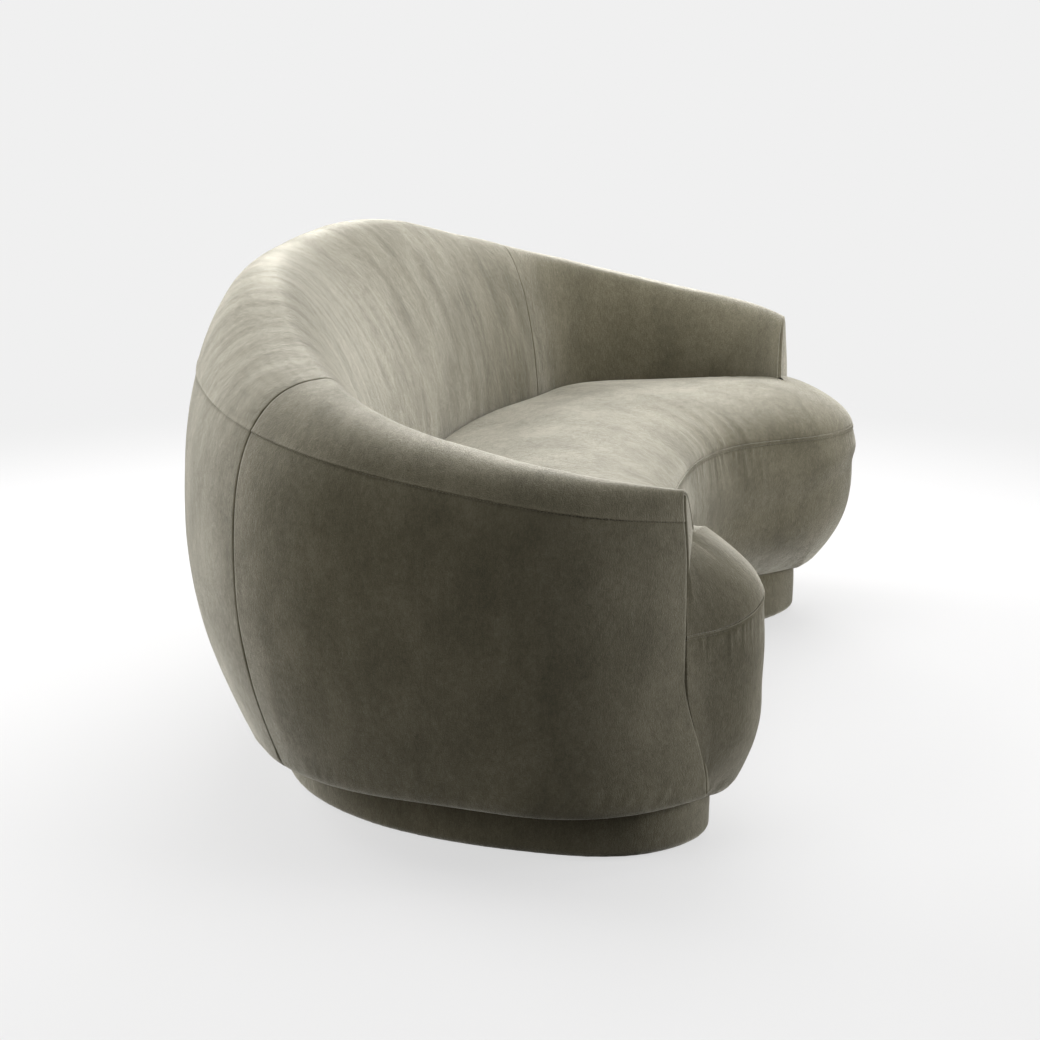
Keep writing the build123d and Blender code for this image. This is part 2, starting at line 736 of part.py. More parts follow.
rim_out, rim_in = 9.0, 27.0
save("plinth_cover", plinth_band(0.0, velvet, 4.0, plinth_top - 1))
save("plinth_padding", plinth_band(velvet + gap, rim_out - gap, 7.0, plinth_top - 2))
save("plinth_rim", plinth_band(rim_out, rim_in, glide_height, plinth_top))

low = (Align.CENTER, Align.CENTER, Align.MIN)
plinth_inside = Pos(0, 0, glide_height) * extrude(plinth_area(rim_in + 0.5), plinth_top - glide_height, dir=(0, 0, 1))
battens = [Pos(x, 80, glide_height) * Box(40, 700, plinth_top - glide_height, align=low) & plinth_inside
           for x in (-255, 255)]
save("plinth_battens", *battens)

# each block: its middle, and on which side of it along X the bolt stands (the glide is opposite)
block_places = ((633.0, -328.0, -1), (659.0, -30.0, -1), (487.0, 212.0, 1))
block_size = (76.0, 50.0)
bolt_step = 19.0
bolt_size = 8.0
bolt_sink = 50.0            # depth of the hole that takes the bolt's head


bolt_places = [(x + side * bolt_step, y) for x, y, side in block_places]
glide_places = [(x - side * bolt_step, y) for x, y, side in block_places] + [(255.0, 60.0)]


def plinth_block(x, y, bolt_x):
    block = Pos(x, y, glide_height) * Box(*block_size, plinth_top - glide_height, align=low)
    block -= Pos(bolt_x, y, 0) * Cylinder(bolt_size / 2 + 0.5, 200, align=low)
    return block - Pos(bolt_x, y, 0) * Cylinder(11, glide_height + bolt_sink, align=low)


def plinth_bolt(x, y):
    head_top = glide_height + bolt_sink
    head = Pos(x, y, head_top - 5.3) * extrude(RegularPolygon(7.5, 6), 5.3)
    shank = Pos(x, y, head_top) * Cylinder(bolt_size / 2, base_top - head_top + 1, align=low)
    return (head + shank).solid()


def plinth_nut(x, y):
    flange = Pos(x, y, base_top) * Cylinder(11, 1.5, align=low)
    barrel = Pos(x, y, base_top - 11) * Cylinder(5, 12, align=low)
    return (flange + barrel - Pos(x, y, 0) * Cylinder(bolt_size / 2 + 0.1, 200, align=low)).solid()


blocks = [plinth_block(x, y, bolt[0]) for (x, y, side), bolt in zip(block_places, bolt_places)]
save("plinth_blocks", *blocks, *[flipped(b) for b in blocks])
bolts = [plinth_bolt(x, y) for x, y in bolt_places]
bolts += [flipped(b) for b in bolts]
save("plinth_bolts", *bolts)
nuts = [plinth_nut(x, y) for x, y in bolt_places]
nuts += [flipped(n) for n in nuts]
save("plinth_nuts", *nuts)
glides = [Pos(x, y, 0) * Cylinder(15, glide_height, align=low) for x, y in glide_places]
glides = [chamfer(g.edges().group_by(Axis.Z)[0], 1.0) for g in glides]
glides += [flipped(g) for g in glides]
save("floor_glides", *glides)
dust_cover = Pos(0, 0, 5.0) * extrude(plinth_area(12.0), 0.8, dir=(0, 0, 1))
for x, y in glide_places:
    dust_cover -= Pos(x, y, 0) * Cylinder(16, 20, align=low)
    dust_cover -= Pos(-x, y, 0) * Cylinder(16, 20, align=low)
save("dust_cover", dust_cover)

for x, y in bolt_places:
    base_board -= Pos(x, y, 0) * Cylinder(5.2, 200, align=low)
    base_board -= Pos(-x, y, 0) * Cylinder(5.2, 200, align=low)
for u in back_rib_places + list(arm_rib_places) + [-u for u in arm_rib_places]:
    x, y, nx, ny = plan(u)
    outer = outer_r(u, base_top) - rib_clear - 14
    inner = rib_inner - through(wall_widths, u) + 14
    for r in (outer, inner):
        base_board -= Pos(x + nx * r, y + ny * r, 0) * Cylinder(2.7, 200, align=low)
        base_board -= Pos(x + nx * r, y + ny * r, 0) * Cylinder(5.2, body_bottom + 4.2, align=low)
save("base_board", base_board)
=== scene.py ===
# %% [markdown]
# # A compact curved sofa in velvet
# The real sofa is a plywood and beech frame with springs and foam, and one cloth pulled tight over
# all of it. The frame, springs and foam come from the CAD model. This script dresses them: each
# cover is a panel of velvet with rolled, sewn edges, gathers and wrinkles. The panels are grids
# worked out from the same section formulas as the solids, so they lie on the foam without fitting.

# %% Load the frame
import json
import math

import bpy
import numpy as np
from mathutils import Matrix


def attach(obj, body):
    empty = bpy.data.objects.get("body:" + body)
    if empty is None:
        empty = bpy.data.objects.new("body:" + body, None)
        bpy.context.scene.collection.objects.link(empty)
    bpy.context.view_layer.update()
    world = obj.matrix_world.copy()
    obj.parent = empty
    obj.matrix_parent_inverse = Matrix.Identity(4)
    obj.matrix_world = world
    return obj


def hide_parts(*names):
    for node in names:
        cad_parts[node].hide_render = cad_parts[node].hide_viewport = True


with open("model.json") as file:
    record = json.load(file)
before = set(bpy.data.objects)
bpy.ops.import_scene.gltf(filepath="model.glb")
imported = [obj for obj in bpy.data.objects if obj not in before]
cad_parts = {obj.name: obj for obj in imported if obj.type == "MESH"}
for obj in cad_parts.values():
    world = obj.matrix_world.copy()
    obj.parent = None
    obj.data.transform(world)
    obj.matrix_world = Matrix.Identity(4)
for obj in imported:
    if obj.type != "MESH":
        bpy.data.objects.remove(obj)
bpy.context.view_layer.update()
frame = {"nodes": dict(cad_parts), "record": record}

MM = 0.001
nodes = frame["nodes"]
scene = bpy.context.scene

# %% [markdown]
# ## Numbers shared with the solids
# An upholsterer works from a few sizes: the width, the height of the crest at a few places round
# the back, and how wide the padded wall is there. The same few pairs are used here, in
# millimetres, with the same smooth curve through them.

# %% The driving sizes, in millimetres
half_width, back_y, widest_y, arm_front_y = 900.0, 500.0, -63.0, -376.0
plan_power, arm_turn_in, arm_turn_power = 2.52, 158.0, 2.9
body_bottom, bulge_height, inner_foot = 94.0, 429.0, 400.0
outer_power, tuck_power, tuck_at_back = 2.6, 2.05, 111.0
junction = 0.53
crest_heights = ((0.0, 772.0), (0.22, 767.0), (0.42, 714.0), (0.70, 633.0), (1.0, 549.0))
crest_insets = ((0.0, 90.0), (0.25, 135.0), (0.5, 158.0), (0.75, 118.0), (1.0, 13.0))
seam_heights = ((0.0, 640.0), (0.3, 641.0), (0.53, 618.0), (0.75, 571.0), (1.0, 508.0))
wall_widths = ((0.0, 310.0), (0.35, 308.0), (0.53, 288.0),
               (0.75, 196.0), (0.88, 162.0), (1.0, 115.0))
seat_front = ((0.0, -262.0), (190.0, -268.0), (318.0, -304.0), (430.0, -388.0),
              (540.0, -467.0), (640.0, -492.0), (716.0, -456.0), (748.0, -392.0))
seam_height, seam_height_facing, crown_height, crown_reach = 374.0, 331.0, 447.0, 190.0
border_tuck, border_full_height, border_power, border_bulge = 92.0, 232.0, 2.6, 7.0
corner_t = 0.66
plinth_line = ((0.0, 338.0), (300.0, 328.0), (527.0, 270.0), (700.0, 112.0), (784.0, -150.0),
               (762.0, -324.0), (648.0, -402.0), (500.0, -348.0), (330.0, -228.0), (0.0, -150.0))

# %% [markdown]
# ## Left and right
# Sewn covers never match quite. The seat swells into a rounded lobe before each arm, and the right
# one has a fuller crown and a rounder front. A side is 1 on the sitter's left, where x is positive,
# and -1 on the right.

# %% What differs from side to side, in millimetres or as a place along the seat
sides = ((1, "left"), (-1, "right"))
front_step = {-1: 0.0, 1: 8.0}            # the arm's front, moved back
facing_roll = {-1: 6.0, 1: 3.6}           # depth of the facing's rolled edge
seam_step = {-1: 2.0, 1: -9.0}            # rise of the seat's seam at the lobe
seam_fall_from = {-1: 0.7, 1: 0.77}       # where that seam starts to fall to the facing
lobe_step = {-1: -13.5, 1: 17.0}          # the lobe's front, moved forward
lobe_tip_step = {-1: 1.0, 1: -2.0}        # the lobe's end, from the arm's front edge
lobe_tuck = {-1: 52.0, 1: 98.0}           # how far its border tucks under
lobe_full_height = {-1: 216.0, 1: 290.0}  # height where the border is fullest
lobe_hang = {-1: 27.0, 1: 2.0}            # how far it hangs below the body
lobe_bulge = {-1: 3.0, 1: border_bulge}   # its bulge under the seam
lobe_rise = {-1: 33.0, 1: 3.0}            # rise of the lobe's crown


# %% Smooth values and smooth lines
def through(knots, u):
    """A smooth value through (place, value) pairs, even about place 0, for an array of places."""
    places, values = np.array(knots).T
    slopes = np.zeros(len(knots))
    slopes[1:-1] = (values[2:] - values[:-2]) / (places[2:] - places[:-2])
    slopes[-1] = (values[-1] - values[-2]) / (places[-1] - places[-2])
    u = np.minimum(np.abs(u), places[-1])
    k = np.clip(np.searchsorted(places, u, side="right") - 1, 0, len(knots) - 2)
    step = places[k + 1] - places[k]
    f = (u - places[k]) / step
    rise = values[k + 1] - values[k]
    m0, m1 = slopes[k] * step, slopes[k + 1] * step
    return values[k] + m0 * f + (3 * rise - 2 * m0 - m1) * f**2 + (m0 + m1 - 2 * rise) * f**3


def smooth_step(f):
    f = np.clip(f, 0.0, 1.0)
    return f * f * (3 - 2 * f)


def ease(x, start, over):
    """0 up to the start, 1 from there plus over, and smooth between."""
    return smooth_step((x - start) / over)


def blend(a, b, share):
    return a + (b - a) * share


def hump(x, centre, width):
    """A soft hump of height 1."""
    return math.exp(-(((x - centre) / width) ** 2))


def crest_height(u):
    """Height of the crest, with the small unevenness of hand-laid padding."""
    loose = 7 * hump(u, 0.27, 0.14) - 9 * hump(u, 0.84, 0.1)
    return through(crest_heights, u) + loose - 10 * hump(u, -0.38, 0.14)


def crest_inset(u):
    return through(crest_insets, u) + 14 * hump(u, -0.38, 0.16)


def cubic_line(points, closed=False, samples=1200):
    """Points of a smooth cubic line through the given ones, evenly spaced along its length."""
    p = np.array(points, float)
    if closed:
        p = np.vstack([p, p[:1]])
    chord = np.r_[0, np.cumsum(np.linalg.norm(np.diff(p, axis=0), axis=1))]
    n = len(p)
    h = np.diff(chord)
    system, right = np.zeros((n, n)), np.zeros((n, p.shape[1]))
    for i in range(1, n - 1):
        system[i, i - 1:i + 2] = h[i - 1], 2 * (h[i - 1] + h[i]), h[i]
        right[i] = 6 * ((p[i + 1] - p[i]) / h[i] - (p[i] - p[i - 1]) / h[i - 1])
    if closed:
        system[0, [0, -1]] = 1, -1
        system[-1, [0, 1, -2, -1]] = 2 * h[0], h[0], h[-1], 2 * h[-1]
        right[-1] = 6 * ((p[1] - p[0]) / h[0] - (p[-1] - p[-2]) / h[-1])
    else:
        system[0, 0] = system[-1, -1] = 1
    bend = np.linalg.solve(system, right)
    at = np.linspace(0, chord[-1], samples)
    k = np.clip(np.searchsorted(chord, at, side="right") - 1, 0, n - 2)
    a, b, w = (chord[k + 1] - at)[:, None], (at - chord[k])[:, None], h[k][:, None]
    line = (bend[k] * a**3 + bend[k + 1] * b**3) / (6 * w)
    line += (p[k] / w - bend[k] * w / 6) * a + (p[k + 1] / w - bend[k + 1] * w / 6) * b
    return even(line, samples)


def lengths(line):
    """Distance along a line of points at each of them."""
    return np.r_[0, np.cumsum(np.linalg.norm(np.diff(line, axis=0), axis=1))]


def pick(line, at, s=None):
    """Points of a line at given distances along it."""
    s = lengths(line) if s is None else s
    return np.stack([np.interp(at, s, line[:, k]) for k in range(line.shape[1])], axis=-1)


def pairs(a, b):
    """Two arrays side by side, as places on a plane."""
    return np.stack([a, b], axis=-1)


def unit(v):
    """Vectors scaled to length 1."""
    return v / np.linalg.norm(v, axis=-1, keepdims=True)


def even(line, n):
    s = lengths(line)
    return pick(line, np.linspace(0, s[-1], n), s)


def mirrored(points):
    return [(-x, y) for x, y in reversed(points[1:])] + list(points)


# %% [markdown]
# ## The wall's plan and section
# The back and arms are one padded wall. Its fullest line, seen from above, is a superellipse at the
# back that runs on into two arms which turn in at the front. Everything else is measured from that
# line: r is the distance across the wall, and z the height.

# %% Plan of the fullest line
back_angle = np.linspace(0, math.pi / 2, 401)
back_half = pairs(half_width * np.sin(back_angle) ** (2 / plan_power),
                  widest_y + (back_y - widest_y) * np.cos(back_angle) ** (2 / plan_power))
arm_run = np.linspace(0, 1.3, 521)[1:]
arm_half = pairs(half_width - arm_turn_in * arm_run**arm_turn_power,
                 widest_y + (arm_front_y - widest_y) * arm_run)
half_plan = np.vstack([back_half, arm_half])
half_plan_s = lengths(half_plan)
arm_x, arm_y = half_plan[len(back_half) - 1:].T
arm_s = half_plan_s[len(back_half) - 1:]
half_length = np.interp(-arm_front_y, -arm_y, arm_s)
slope_reach = 4.0


def plan(u):
    """x, y of the fullest line at u (-1 to 1 between the arms' fronts), and the way outward."""
    side = np.where(np.asarray(u) < 0, -1.0, 1.0)
    s = np.abs(u) * half_length
    here, ahead, behind = (pick(half_plan, np.maximum(s + d, 0.0), half_plan_s)
                           for d in (0, slope_reach, -slope_reach))
    nx = np.where(s < slope_reach, 0.0, behind[..., 1] - ahead[..., 1])
    ny = np.where(s < slope_reach, 1.0, ahead[..., 0] - behind[..., 0])
    size = np.hypot(nx, ny)
    turn = ease(np.abs(u), 0.65, 0.28)
    nx, ny = nx / size * (1 - turn) + turn, ny / size * (1 - turn)
    size = np.hypot(nx, ny)
    return side * here[..., 0], here[..., 1], side * nx / size, ny / size


def plan_place(y):
    """x of the fullest line, and u, where it passes y on an arm (for x > 0)."""
    return np.interp(-y, -arm_y, arm_x), np.interp(-y, -arm_y, arm_s) / half_length


print("half plan", round(float(half_length)), "mm")


# %% Section of the wall
section_points, foot_points = 120, 12
foot_hang, front_hang = 4.0, 11.0
foot_flare, flare_power = 22.0, 2.2
roll_fullness, wall_fullness, inner_lean, below_seat = 0.34, 0.57, 5.0, 335.0
lap_over, lap_under = 3.0, 1.0


def outer_section(u):
    """(r, z) points from the underside up the outer face to the crest."""
    crest, inset = crest_height(u), crest_inset(u)
    down = np.linspace(1, 0, section_points)
    tuck = tuck_at_back * (1 - min(abs(u), 1) ** 2)
    near_front = ease(abs(u), 0.72, 0.28)
    r = -tuck * down**tuck_power + foot_flare * near_front * down**flare_power
    fall = bulge_height - body_bottom + (foot_hang + front_hang * near_front) * down**3
    low = pairs(r, bulge_height - down * fall)
    angle = np.linspace(0, math.pi / 2, section_points)[1:]
    rise = np.sin(angle) ** (2 / outer_power)
    back = 1 - np.maximum(np.cos(angle), 0) ** (2 / outer_power)
    high = pairs(-inset * back, bulge_height + (crest - bulge_height) * rise)
    return np.vstack([low, high])


def inner_section(u):
    """(r, z) points from the crest down the inner face, to below the seat."""
    crest, inset, width = crest_height(u), crest_inset(u), through(wall_widths, u)
    f = np.linspace(0, 1, section_points)
    handle, drop = roll_fullness * (width - inset), wall_fullness * (crest - inner_foot)
    r = (-inset * (1 - f) ** 3 - (inset + handle) * 3 * f * (1 - f) ** 2
         - (width - inner_lean) * 3 * f**2 * (1 - f) - width * f**3)
    z = (crest * ((1 - f) ** 3 + 3 * f * (1 - f) ** 2)
         + (inner_foot + drop) * 3 * f**2 * (1 - f) + inner_foot * f**3)
    foot = pairs(np.full(foot_points, -width),
                 np.linspace(inner_foot, below_seat, foot_points + 1)[1:])
    return np.vstack([pairs(r, z), foot])


def rounded_foot(path, radius=15.0, under=52.0):
    """A section whose lower edge turns under the body in a soft round, and runs up a little."""
    corner = path[0]
    s = lengths(path)
    up = pick(path, np.array([radius]), s)[0]
    f = np.linspace(0, 1, 14)[:, None]
    start = corner - [radius, -0.5]
    bend = start * (1 - f) ** 2 + corner * 2 * f * (1 - f) + up * f**2
    return np.vstack([[corner - [under, -5.0]], bend, path[s > radius]])


def seam_split(u, outer):
    """The section below the sewn seam under the roll (outer), or from there over the crest to the
    inner foot. The upper cover laps over the lower one."""
    whole, height = outer_section(u), through(seam_heights, u)
    s = lengths(whole)
    k = int(np.argmax(whole[:, 1] > height))
    f = (height - whole[k - 1, 1]) / (whole[k, 1] - whole[k - 1, 1])
    seam = s[k - 1] + f * (s[k] - s[k - 1])
    low, high = pick(whole, np.array([seam - lap_over, seam + lap_under]), s)
    if outer:
        return rounded_foot(np.vstack([whole[s < seam], high]))
    return np.vstack([low, whole[s > seam], inner_section(u)[1:]])


# %% [markdown]
# ## From section to cloth
# A panel is a grid: columns stand side by side along the sofa, rows run across it. Both lie close
# together beside a seam, where the cloth rolls in. Lifting each point along the grid's own normal
# then makes seams, gathers and wrinkles.

# %% Rows, columns and lifting
cloth_step = 5.0
EDGE = np.array([0.0, 0.7, 1.5, 2.5, 4.0, 6.0, 9.0, 13.0])
SPAN = 1000.0
lattice_size = 64
lattice = np.random.default_rng(7).uniform(-1, 1, (lattice_size, lattice_size, 8))


def graded(length, step):
    """Distances from 0 to length: close together at the sewn edges, step apart between them."""
    inner = length - EDGE[-1] - EDGE[-1]
    middle = np.linspace(0, inner, max(int(round(inner / step)), 2) + 1)[1:-1] + EDGE[-1]
    return np.concatenate([EDGE, middle, length - EDGE[::-1]])


def stretch(rows, low, high):
    """Rows from 0 to SPAN moved onto a stretch, keeping their sizes at both edges."""
    keep = min(EDGE[-1], 0.3 * (high - low))
    edges = [0, EDGE[-1], SPAN - EDGE[-1], SPAN]
    return np.interp(rows, edges, [low, low + keep, high - keep, high])


def normals_of(points):
    along, across = np.gradient(points, axis=0), np.gradient(points, axis=1)
    n = np.cross(along, across)
    return n / np.maximum(np.linalg.norm(n, axis=2, keepdims=True), 1e-9)


def rolled(d, radius, depth):
    """Drop of a rolled edge at distance d from it: a quarter round, depth deep at the edge."""
    x = 1 - np.clip(d / radius, 0, 1)
    return -depth * (1 - np.sqrt(np.maximum(1 - x * x, 0.0)))


def noise(x, y, layer=0):
    """Smooth noise from -1 to 1 on a repeating square lattice."""
    xi, yi = np.floor(x).astype(int), np.floor(y).astype(int)
    fx, fy = smooth_step(x - xi), smooth_step(y - yi)
    table = lattice[:, :, layer]
    x0, x1, y0, y1 = (v % lattice_size for v in (xi, xi + 1, yi, yi + 1))
    low = table[x0, y0] * (1 - fx) + table[x1, y0] * fx
    high = table[x0, y1] * (1 - fx) + table[x1, y1] * fx
    return low * (1 - fy) + high * fy


def uneven(s, d, layer=0):
    """Hand-made softness: slow swells under a tight cover, in millimetres."""
    slow = noise(s / 130 + 9, d / 120 + 5, layer)
    middle, fine = noise(s / 47, d / 61, layer + 1), noise(s / 15, d / 22, layer + 2)
    return 0.9 * slow + 0.45 * middle + 0.12 * fine


def fold(s, d, at, width, length, height, slant=0.0, start=0.0):
    """One fold that leaves a seam at s = at: it rises in a few millimetres and dies out."""
    widens_over, rises_in = 160, 6
    x = (s - at - slant * d) / (width * (1 + np.maximum(d, 0) / widens_over))
    out = np.clip((d - start) / rises_in, 0, 1)
    return height * out * np.exp(-x * x) * np.exp(-((np.maximum(d - start, 0) / length) ** 2))


# %% [markdown]
# ## Turning a grid into an object
# The grid's lengths along and across the cloth go into a UV map called pile, in metres. The velvet
# reads it, so its nap runs the way the cloth was cut on every panel.

# %% Meshes from grids
pieces = []


def smooth_mesh(name, points, faces):
    """A smooth-shaded mesh from points in millimetres."""
    mesh = bpy.data.meshes.new(name)
    mesh.from_pydata((points.reshape(-1, 3) * MM).tolist(), [], faces.tolist())
    mesh.shade_smooth()
    return mesh


def new_object(name, data):
    made = bpy.data.objects.new(name, data)
    scene.collection.objects.link(made)
    return made


def grid_object(name, points, s, d, flip=False, closed=False):
    """A mesh from a grid of points, with distances along (s) and across (d) the cloth."""
    n, m = points.shape[:2]
    index = np.arange(n * m).reshape(n, m)
    if closed:
        index = np.vstack([index, index[:1]])
    quads = np.stack([index[:-1, :-1], index[1:, :-1], index[1:, 1:], index[:-1, 1:]], axis=-1)
    quads = quads.reshape(-1, 4)
    if flip:
        quads = quads[:, ::-1]
    mesh = smooth_mesh(name, points, quads)
    uv = pairs(s, d).reshape(-1, 2)
    mesh.uv_layers.new(name="pile").data.foreach_set("uv", (uv[quads.reshape(-1)] * MM).ravel())
    made = new_object(name, mesh)
    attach(made, "root")
    pieces.append(made)
    return made


def upholster(piece, fill, *replaced):
    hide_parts(*replaced)
    print(piece.name, len(piece.data.polygons), "faces")


# %% [markdown]
# ## The wall's covers
# Three covers go round: the back between two seams, and one on each arm. Each has an outer panel
# that turns under the body, and an inner one that goes over the roll and down behind the seat. The
# arms' front edges run forward near the floor, where the cover is pulled round under the seat.

# %% Columns of the wall
arm_foot_sweep, arm_sweep_top, arm_sweep_height = 28.0, 280.0, 190.0
arm_lean, arm_lean_top, arm_lean_height = 5.0, 546.0, 110.0
facing_tilt = 0.055


def front_y(side, z, r=0.0):
    """y of an arm's front at a height, r across the wall: it leans, and sweeps out at the foot."""
    lean = arm_lean * smooth_step((arm_lean_top - z) / arm_lean_height)
    sweep = arm_foot_sweep * smooth_step((arm_sweep_top - z) / arm_sweep_height)
    return arm_front_y + front_step[side] - lean - sweep - facing_tilt * r


def forward(u, r, z):
    """u moved so that a column at the arm's end lies on its front edge."""
    side = 1 if u[0] > 0 else -1
    _, target = plan_place(front_y(side, z, r))
    return u + ease(np.abs(u), 0.84, 0.16) * side * (target - 1)


def wall_grid(us, outer):
    """Points of a wall panel, with distances along (s) and across (d, and its full length)."""
    paths = [seam_split(u, outer) for u in us]
    totals = np.array([lengths(p)[-1] for p in paths])
    rows = graded(SPAN, cloth_step * SPAN / totals.mean())
    points, across = [], []
    for u, path, total in zip(us, paths, totals):
        d = stretch(rows, 0.0, total)
        rz = pick(path, d)
        x, y, nx, ny = plan(forward(np.full(len(rz), u), rz[:, 0], rz[:, 1]))
        points.append(np.stack([x + nx * rz[:, 0], y + ny * rz[:, 0], rz[:, 1]], axis=1))
        across.append(d)
    d = np.array(across)
    s = np.repeat(us[:, None] * half_length, d.shape[1], axis=1)
    return np.array(points), s, d, totals[:, None]


# %% Seams, wrinkles and swells on the wall
pucker_pitch, pucker_foot = 23.0, 76.0


def roll_wrinkles(s, d):
    """Fine tension lines that run along the roll, close to the seam where the arm begins."""
    made = np.zeros_like(s)
    away = junction * half_length - np.abs(s)
    for k in range(11):
        wander = 5 * noise(s / 60, np.full_like(d, k), 3)
        line = 16 + 13.0 * k + 0.00022 * away**2 * (1 + 0.05 * k) - wander
        reach = np.exp(-((away - 40 - 9 * k) / (95.0 + 12 * k)) ** 2)
        made += (0.9 - 0.05 * k) * reach * np.exp(-(((d - line) / 4.2) ** 2))
    return made


def foot_puckers(s, d, seed):
    """Short slanting folds where the cover is pulled under the body."""
    made = np.zeros_like(s)
    rng = np.random.default_rng(seed)
    for at in np.arange(s.min() + 10, s.max() - 8, pucker_pitch):
        at = at + rng.uniform(-8, 8)
        lean = rng.uniform(0.25, 0.7) * np.sign(at)
        tall = rng.uniform(0.5, 1.9)
        width, length = rng.uniform(5, 8), rng.uniform(16, 42)
        made += fold(s, d - pucker_foot, at, width, length, tall, lean, start=-14)
    return made


def lapped(d):
    """A folded edge that lies on the cover below it: a fine groove, then the edge stands up and
    falls back to the padding."""
    return -0.7 * np.exp(-((d / 0.8) ** 2)) + 1.8 * np.exp(-d / 5.0)


def wall_height(s, d, total, outer, seed):
    """Lift of a wall panel. d runs up from the foot on an outer one, and from the seam over the
    crest on an inner one."""
    high = 0.9 * uneven(s, d + (0 if outer else 700), seed % 4)
    if outer:
        return high - 0.9 * np.exp(-(((total - d) / 4.0) ** 2)) + foot_puckers(s, d, seed)
    return high + lapped(d)


# %% Make the wall's panels
seam_gap, seam_roll = 0.35, (5.0, 2.0)
corner_roll = 6.5, 5.0


def turn_in(points, normal, s, d, ends, depth=4.0, along=0.0):
    """Adds a column at an end of a panel where the cloth goes on into the seam."""
    for end in ends:
        place = 0 if end == 0 else len(points)
        more = points[end] - normal[end] * depth + [0, along, 0]
        points = np.insert(points, place, more, axis=0)
        s, d, normal = (np.insert(v, place, v[end], axis=0) for v in (s, d, normal))
    return points, s, d


def station_u(u_from, u_to):
    length = (u_to - u_from) * half_length
    return u_from + graded(length, cloth_step) / half_length


back_us = station_u(-junction, junction)
back_us[0] += seam_gap / half_length
back_us[-1] -= seam_gap / half_length


def wall_panel(name, us, side, outer, seed, *replaced):
    """One panel of the wall. side is 0 for the back, which has a seam at both ends."""
    points, s, d, total = wall_grid(us, outer)
    from_seam = np.abs(np.abs(s) - junction * half_length)
    high = wall_height(s, d, total, outer, seed) + rolled(from_seam, *seam_roll)
    if side:
        high += rolled(half_length - np.abs(s), *corner_roll)
    elif not outer:
        high += roll_wrinkles(s, d)
    normal = normals_of(points) * (1 if side < 0 else -1)
    points = points + normal * high[..., None]
    if side:
        points, s, d = turn_in(points, normal, s, d, (-1,), 2.4, 10.0)
    points, s, d = turn_in(points, normal, s, d, (0,) if side else (0, -1))
    upholster(grid_object(name, points, s, d, flip=side >= 0), 0.95, *replaced)


wall_panel("back_outer", back_us, 0, True, 11, "back_outer_cover")
wall_panel("back_inner", back_us, 0, False, 12, "back_inner_cover", "back_wadding", "back_foam")
for side, label in sides:
    us = side * station_u(junction + seam_gap / half_length, 1.0)
    wall_panel(f"arm_outer_{label}", us, side, True, 13 + side, f"arm_outer_cover_{label}")
    wall_panel(f"arm_inner_{label}", us, side, False, 17 + side, f"arm_inner_cover_{label}",
               f"arm_wadding_{label}", f"arm_foam_{label}")

# %% [markdown]
# ## The arm's front facing
# Each arm ends in a narrow padded strip, sewn in between the outer and the inner panel. It is a fan
# of points from the section's outline to a line down its middle, slightly domed, with its edge
# rolled back into the seam.

# %% Make the facings
facing_inset, facing_proud, facing_radius = 6.7, 2.0, 5.0
facing_allowance, facing_below_top = 1.2, 42.0


def facing(label, side):
    """The strip on one arm. Its first ring is the seam allowance, a little deeper."""
    outer = rounded_foot(outer_section(side), 6.0, 8.0)[1:]
    outline = even(np.vstack([outer, inner_section(side)[1:]]), 170)
    step = unit(np.gradient(outline, axis=0))
    towards = pairs(-step[:, 1], step[:, 0])
    allowance = outline + towards * facing_allowance
    outline = outline + towards * facing_inset
    middle = (outline[:, 0].max() + outline[:, 0].min()) / 2
    top = outline[:, 1].max() - facing_below_top
    spine = pairs(np.full(len(outline), middle), np.minimum(outline[:, 1], top))
    f = np.concatenate([np.linspace(0, 0.2, 9), np.linspace(0.2, 1, 12)[1:]])
    rz = outline[:, None] * (1 - f[None, :, None]) + spine[:, None] * f[None, :, None]
    inward = np.linalg.norm(rz - outline[:, None], axis=2)
    rz = np.concatenate([allowance[:, None], rz], axis=1)
    f, inward = np.append(0.0, f), np.hstack([np.full((len(outline), 1), -0.5), inward])
    r, z = rz[..., 0], rz[..., 1]
    x, _ = plan_place(front_y(side, z))
    edge_roll = rolled(np.maximum(inward, 0), facing_radius, facing_roll[side])
    y = front_y(side, z, r) - facing_proud * (1 - (1 - f[None, :]) ** 2) - edge_roll
    y = y + np.maximum(-inward, 0)
    points = np.stack([side * (x + r), y, z], axis=-1)
    made = grid_object(f"facing_{label}", points, r, z, flip=side < 0)
    upholster(made, 0.9, f"arm_facing_{label}", f"arm_facing_pad_{label}")


for side, label in sides:
    facing(label, side)

# %% [markdown]
# ## The seat
# The seat is one tight cushion: a border that climbs from the underside to a flat felled seam, and
# a top that rolls over the front edge and runs back to the wall. Its front line swings in at the
# middle and out round a lobe before each arm. Straight spans run from that line to the wall, and
# fan out over the lobes, so the grid never folds over itself. A place along the seat, t, runs from
# -1 at the right facing to 1 at the left one.

# %% Spans of the seat
into_wall, into_facing, facing_meets = 6.0, 6.0, 400.0
lobe_end, lobe_handle, tip_handle = 0.77, 54.0, (46.0, 40.0)
front_line = cubic_line(mirrored(seat_front))
front_s = lengths(front_line)
half_front = front_s[-1] / 2


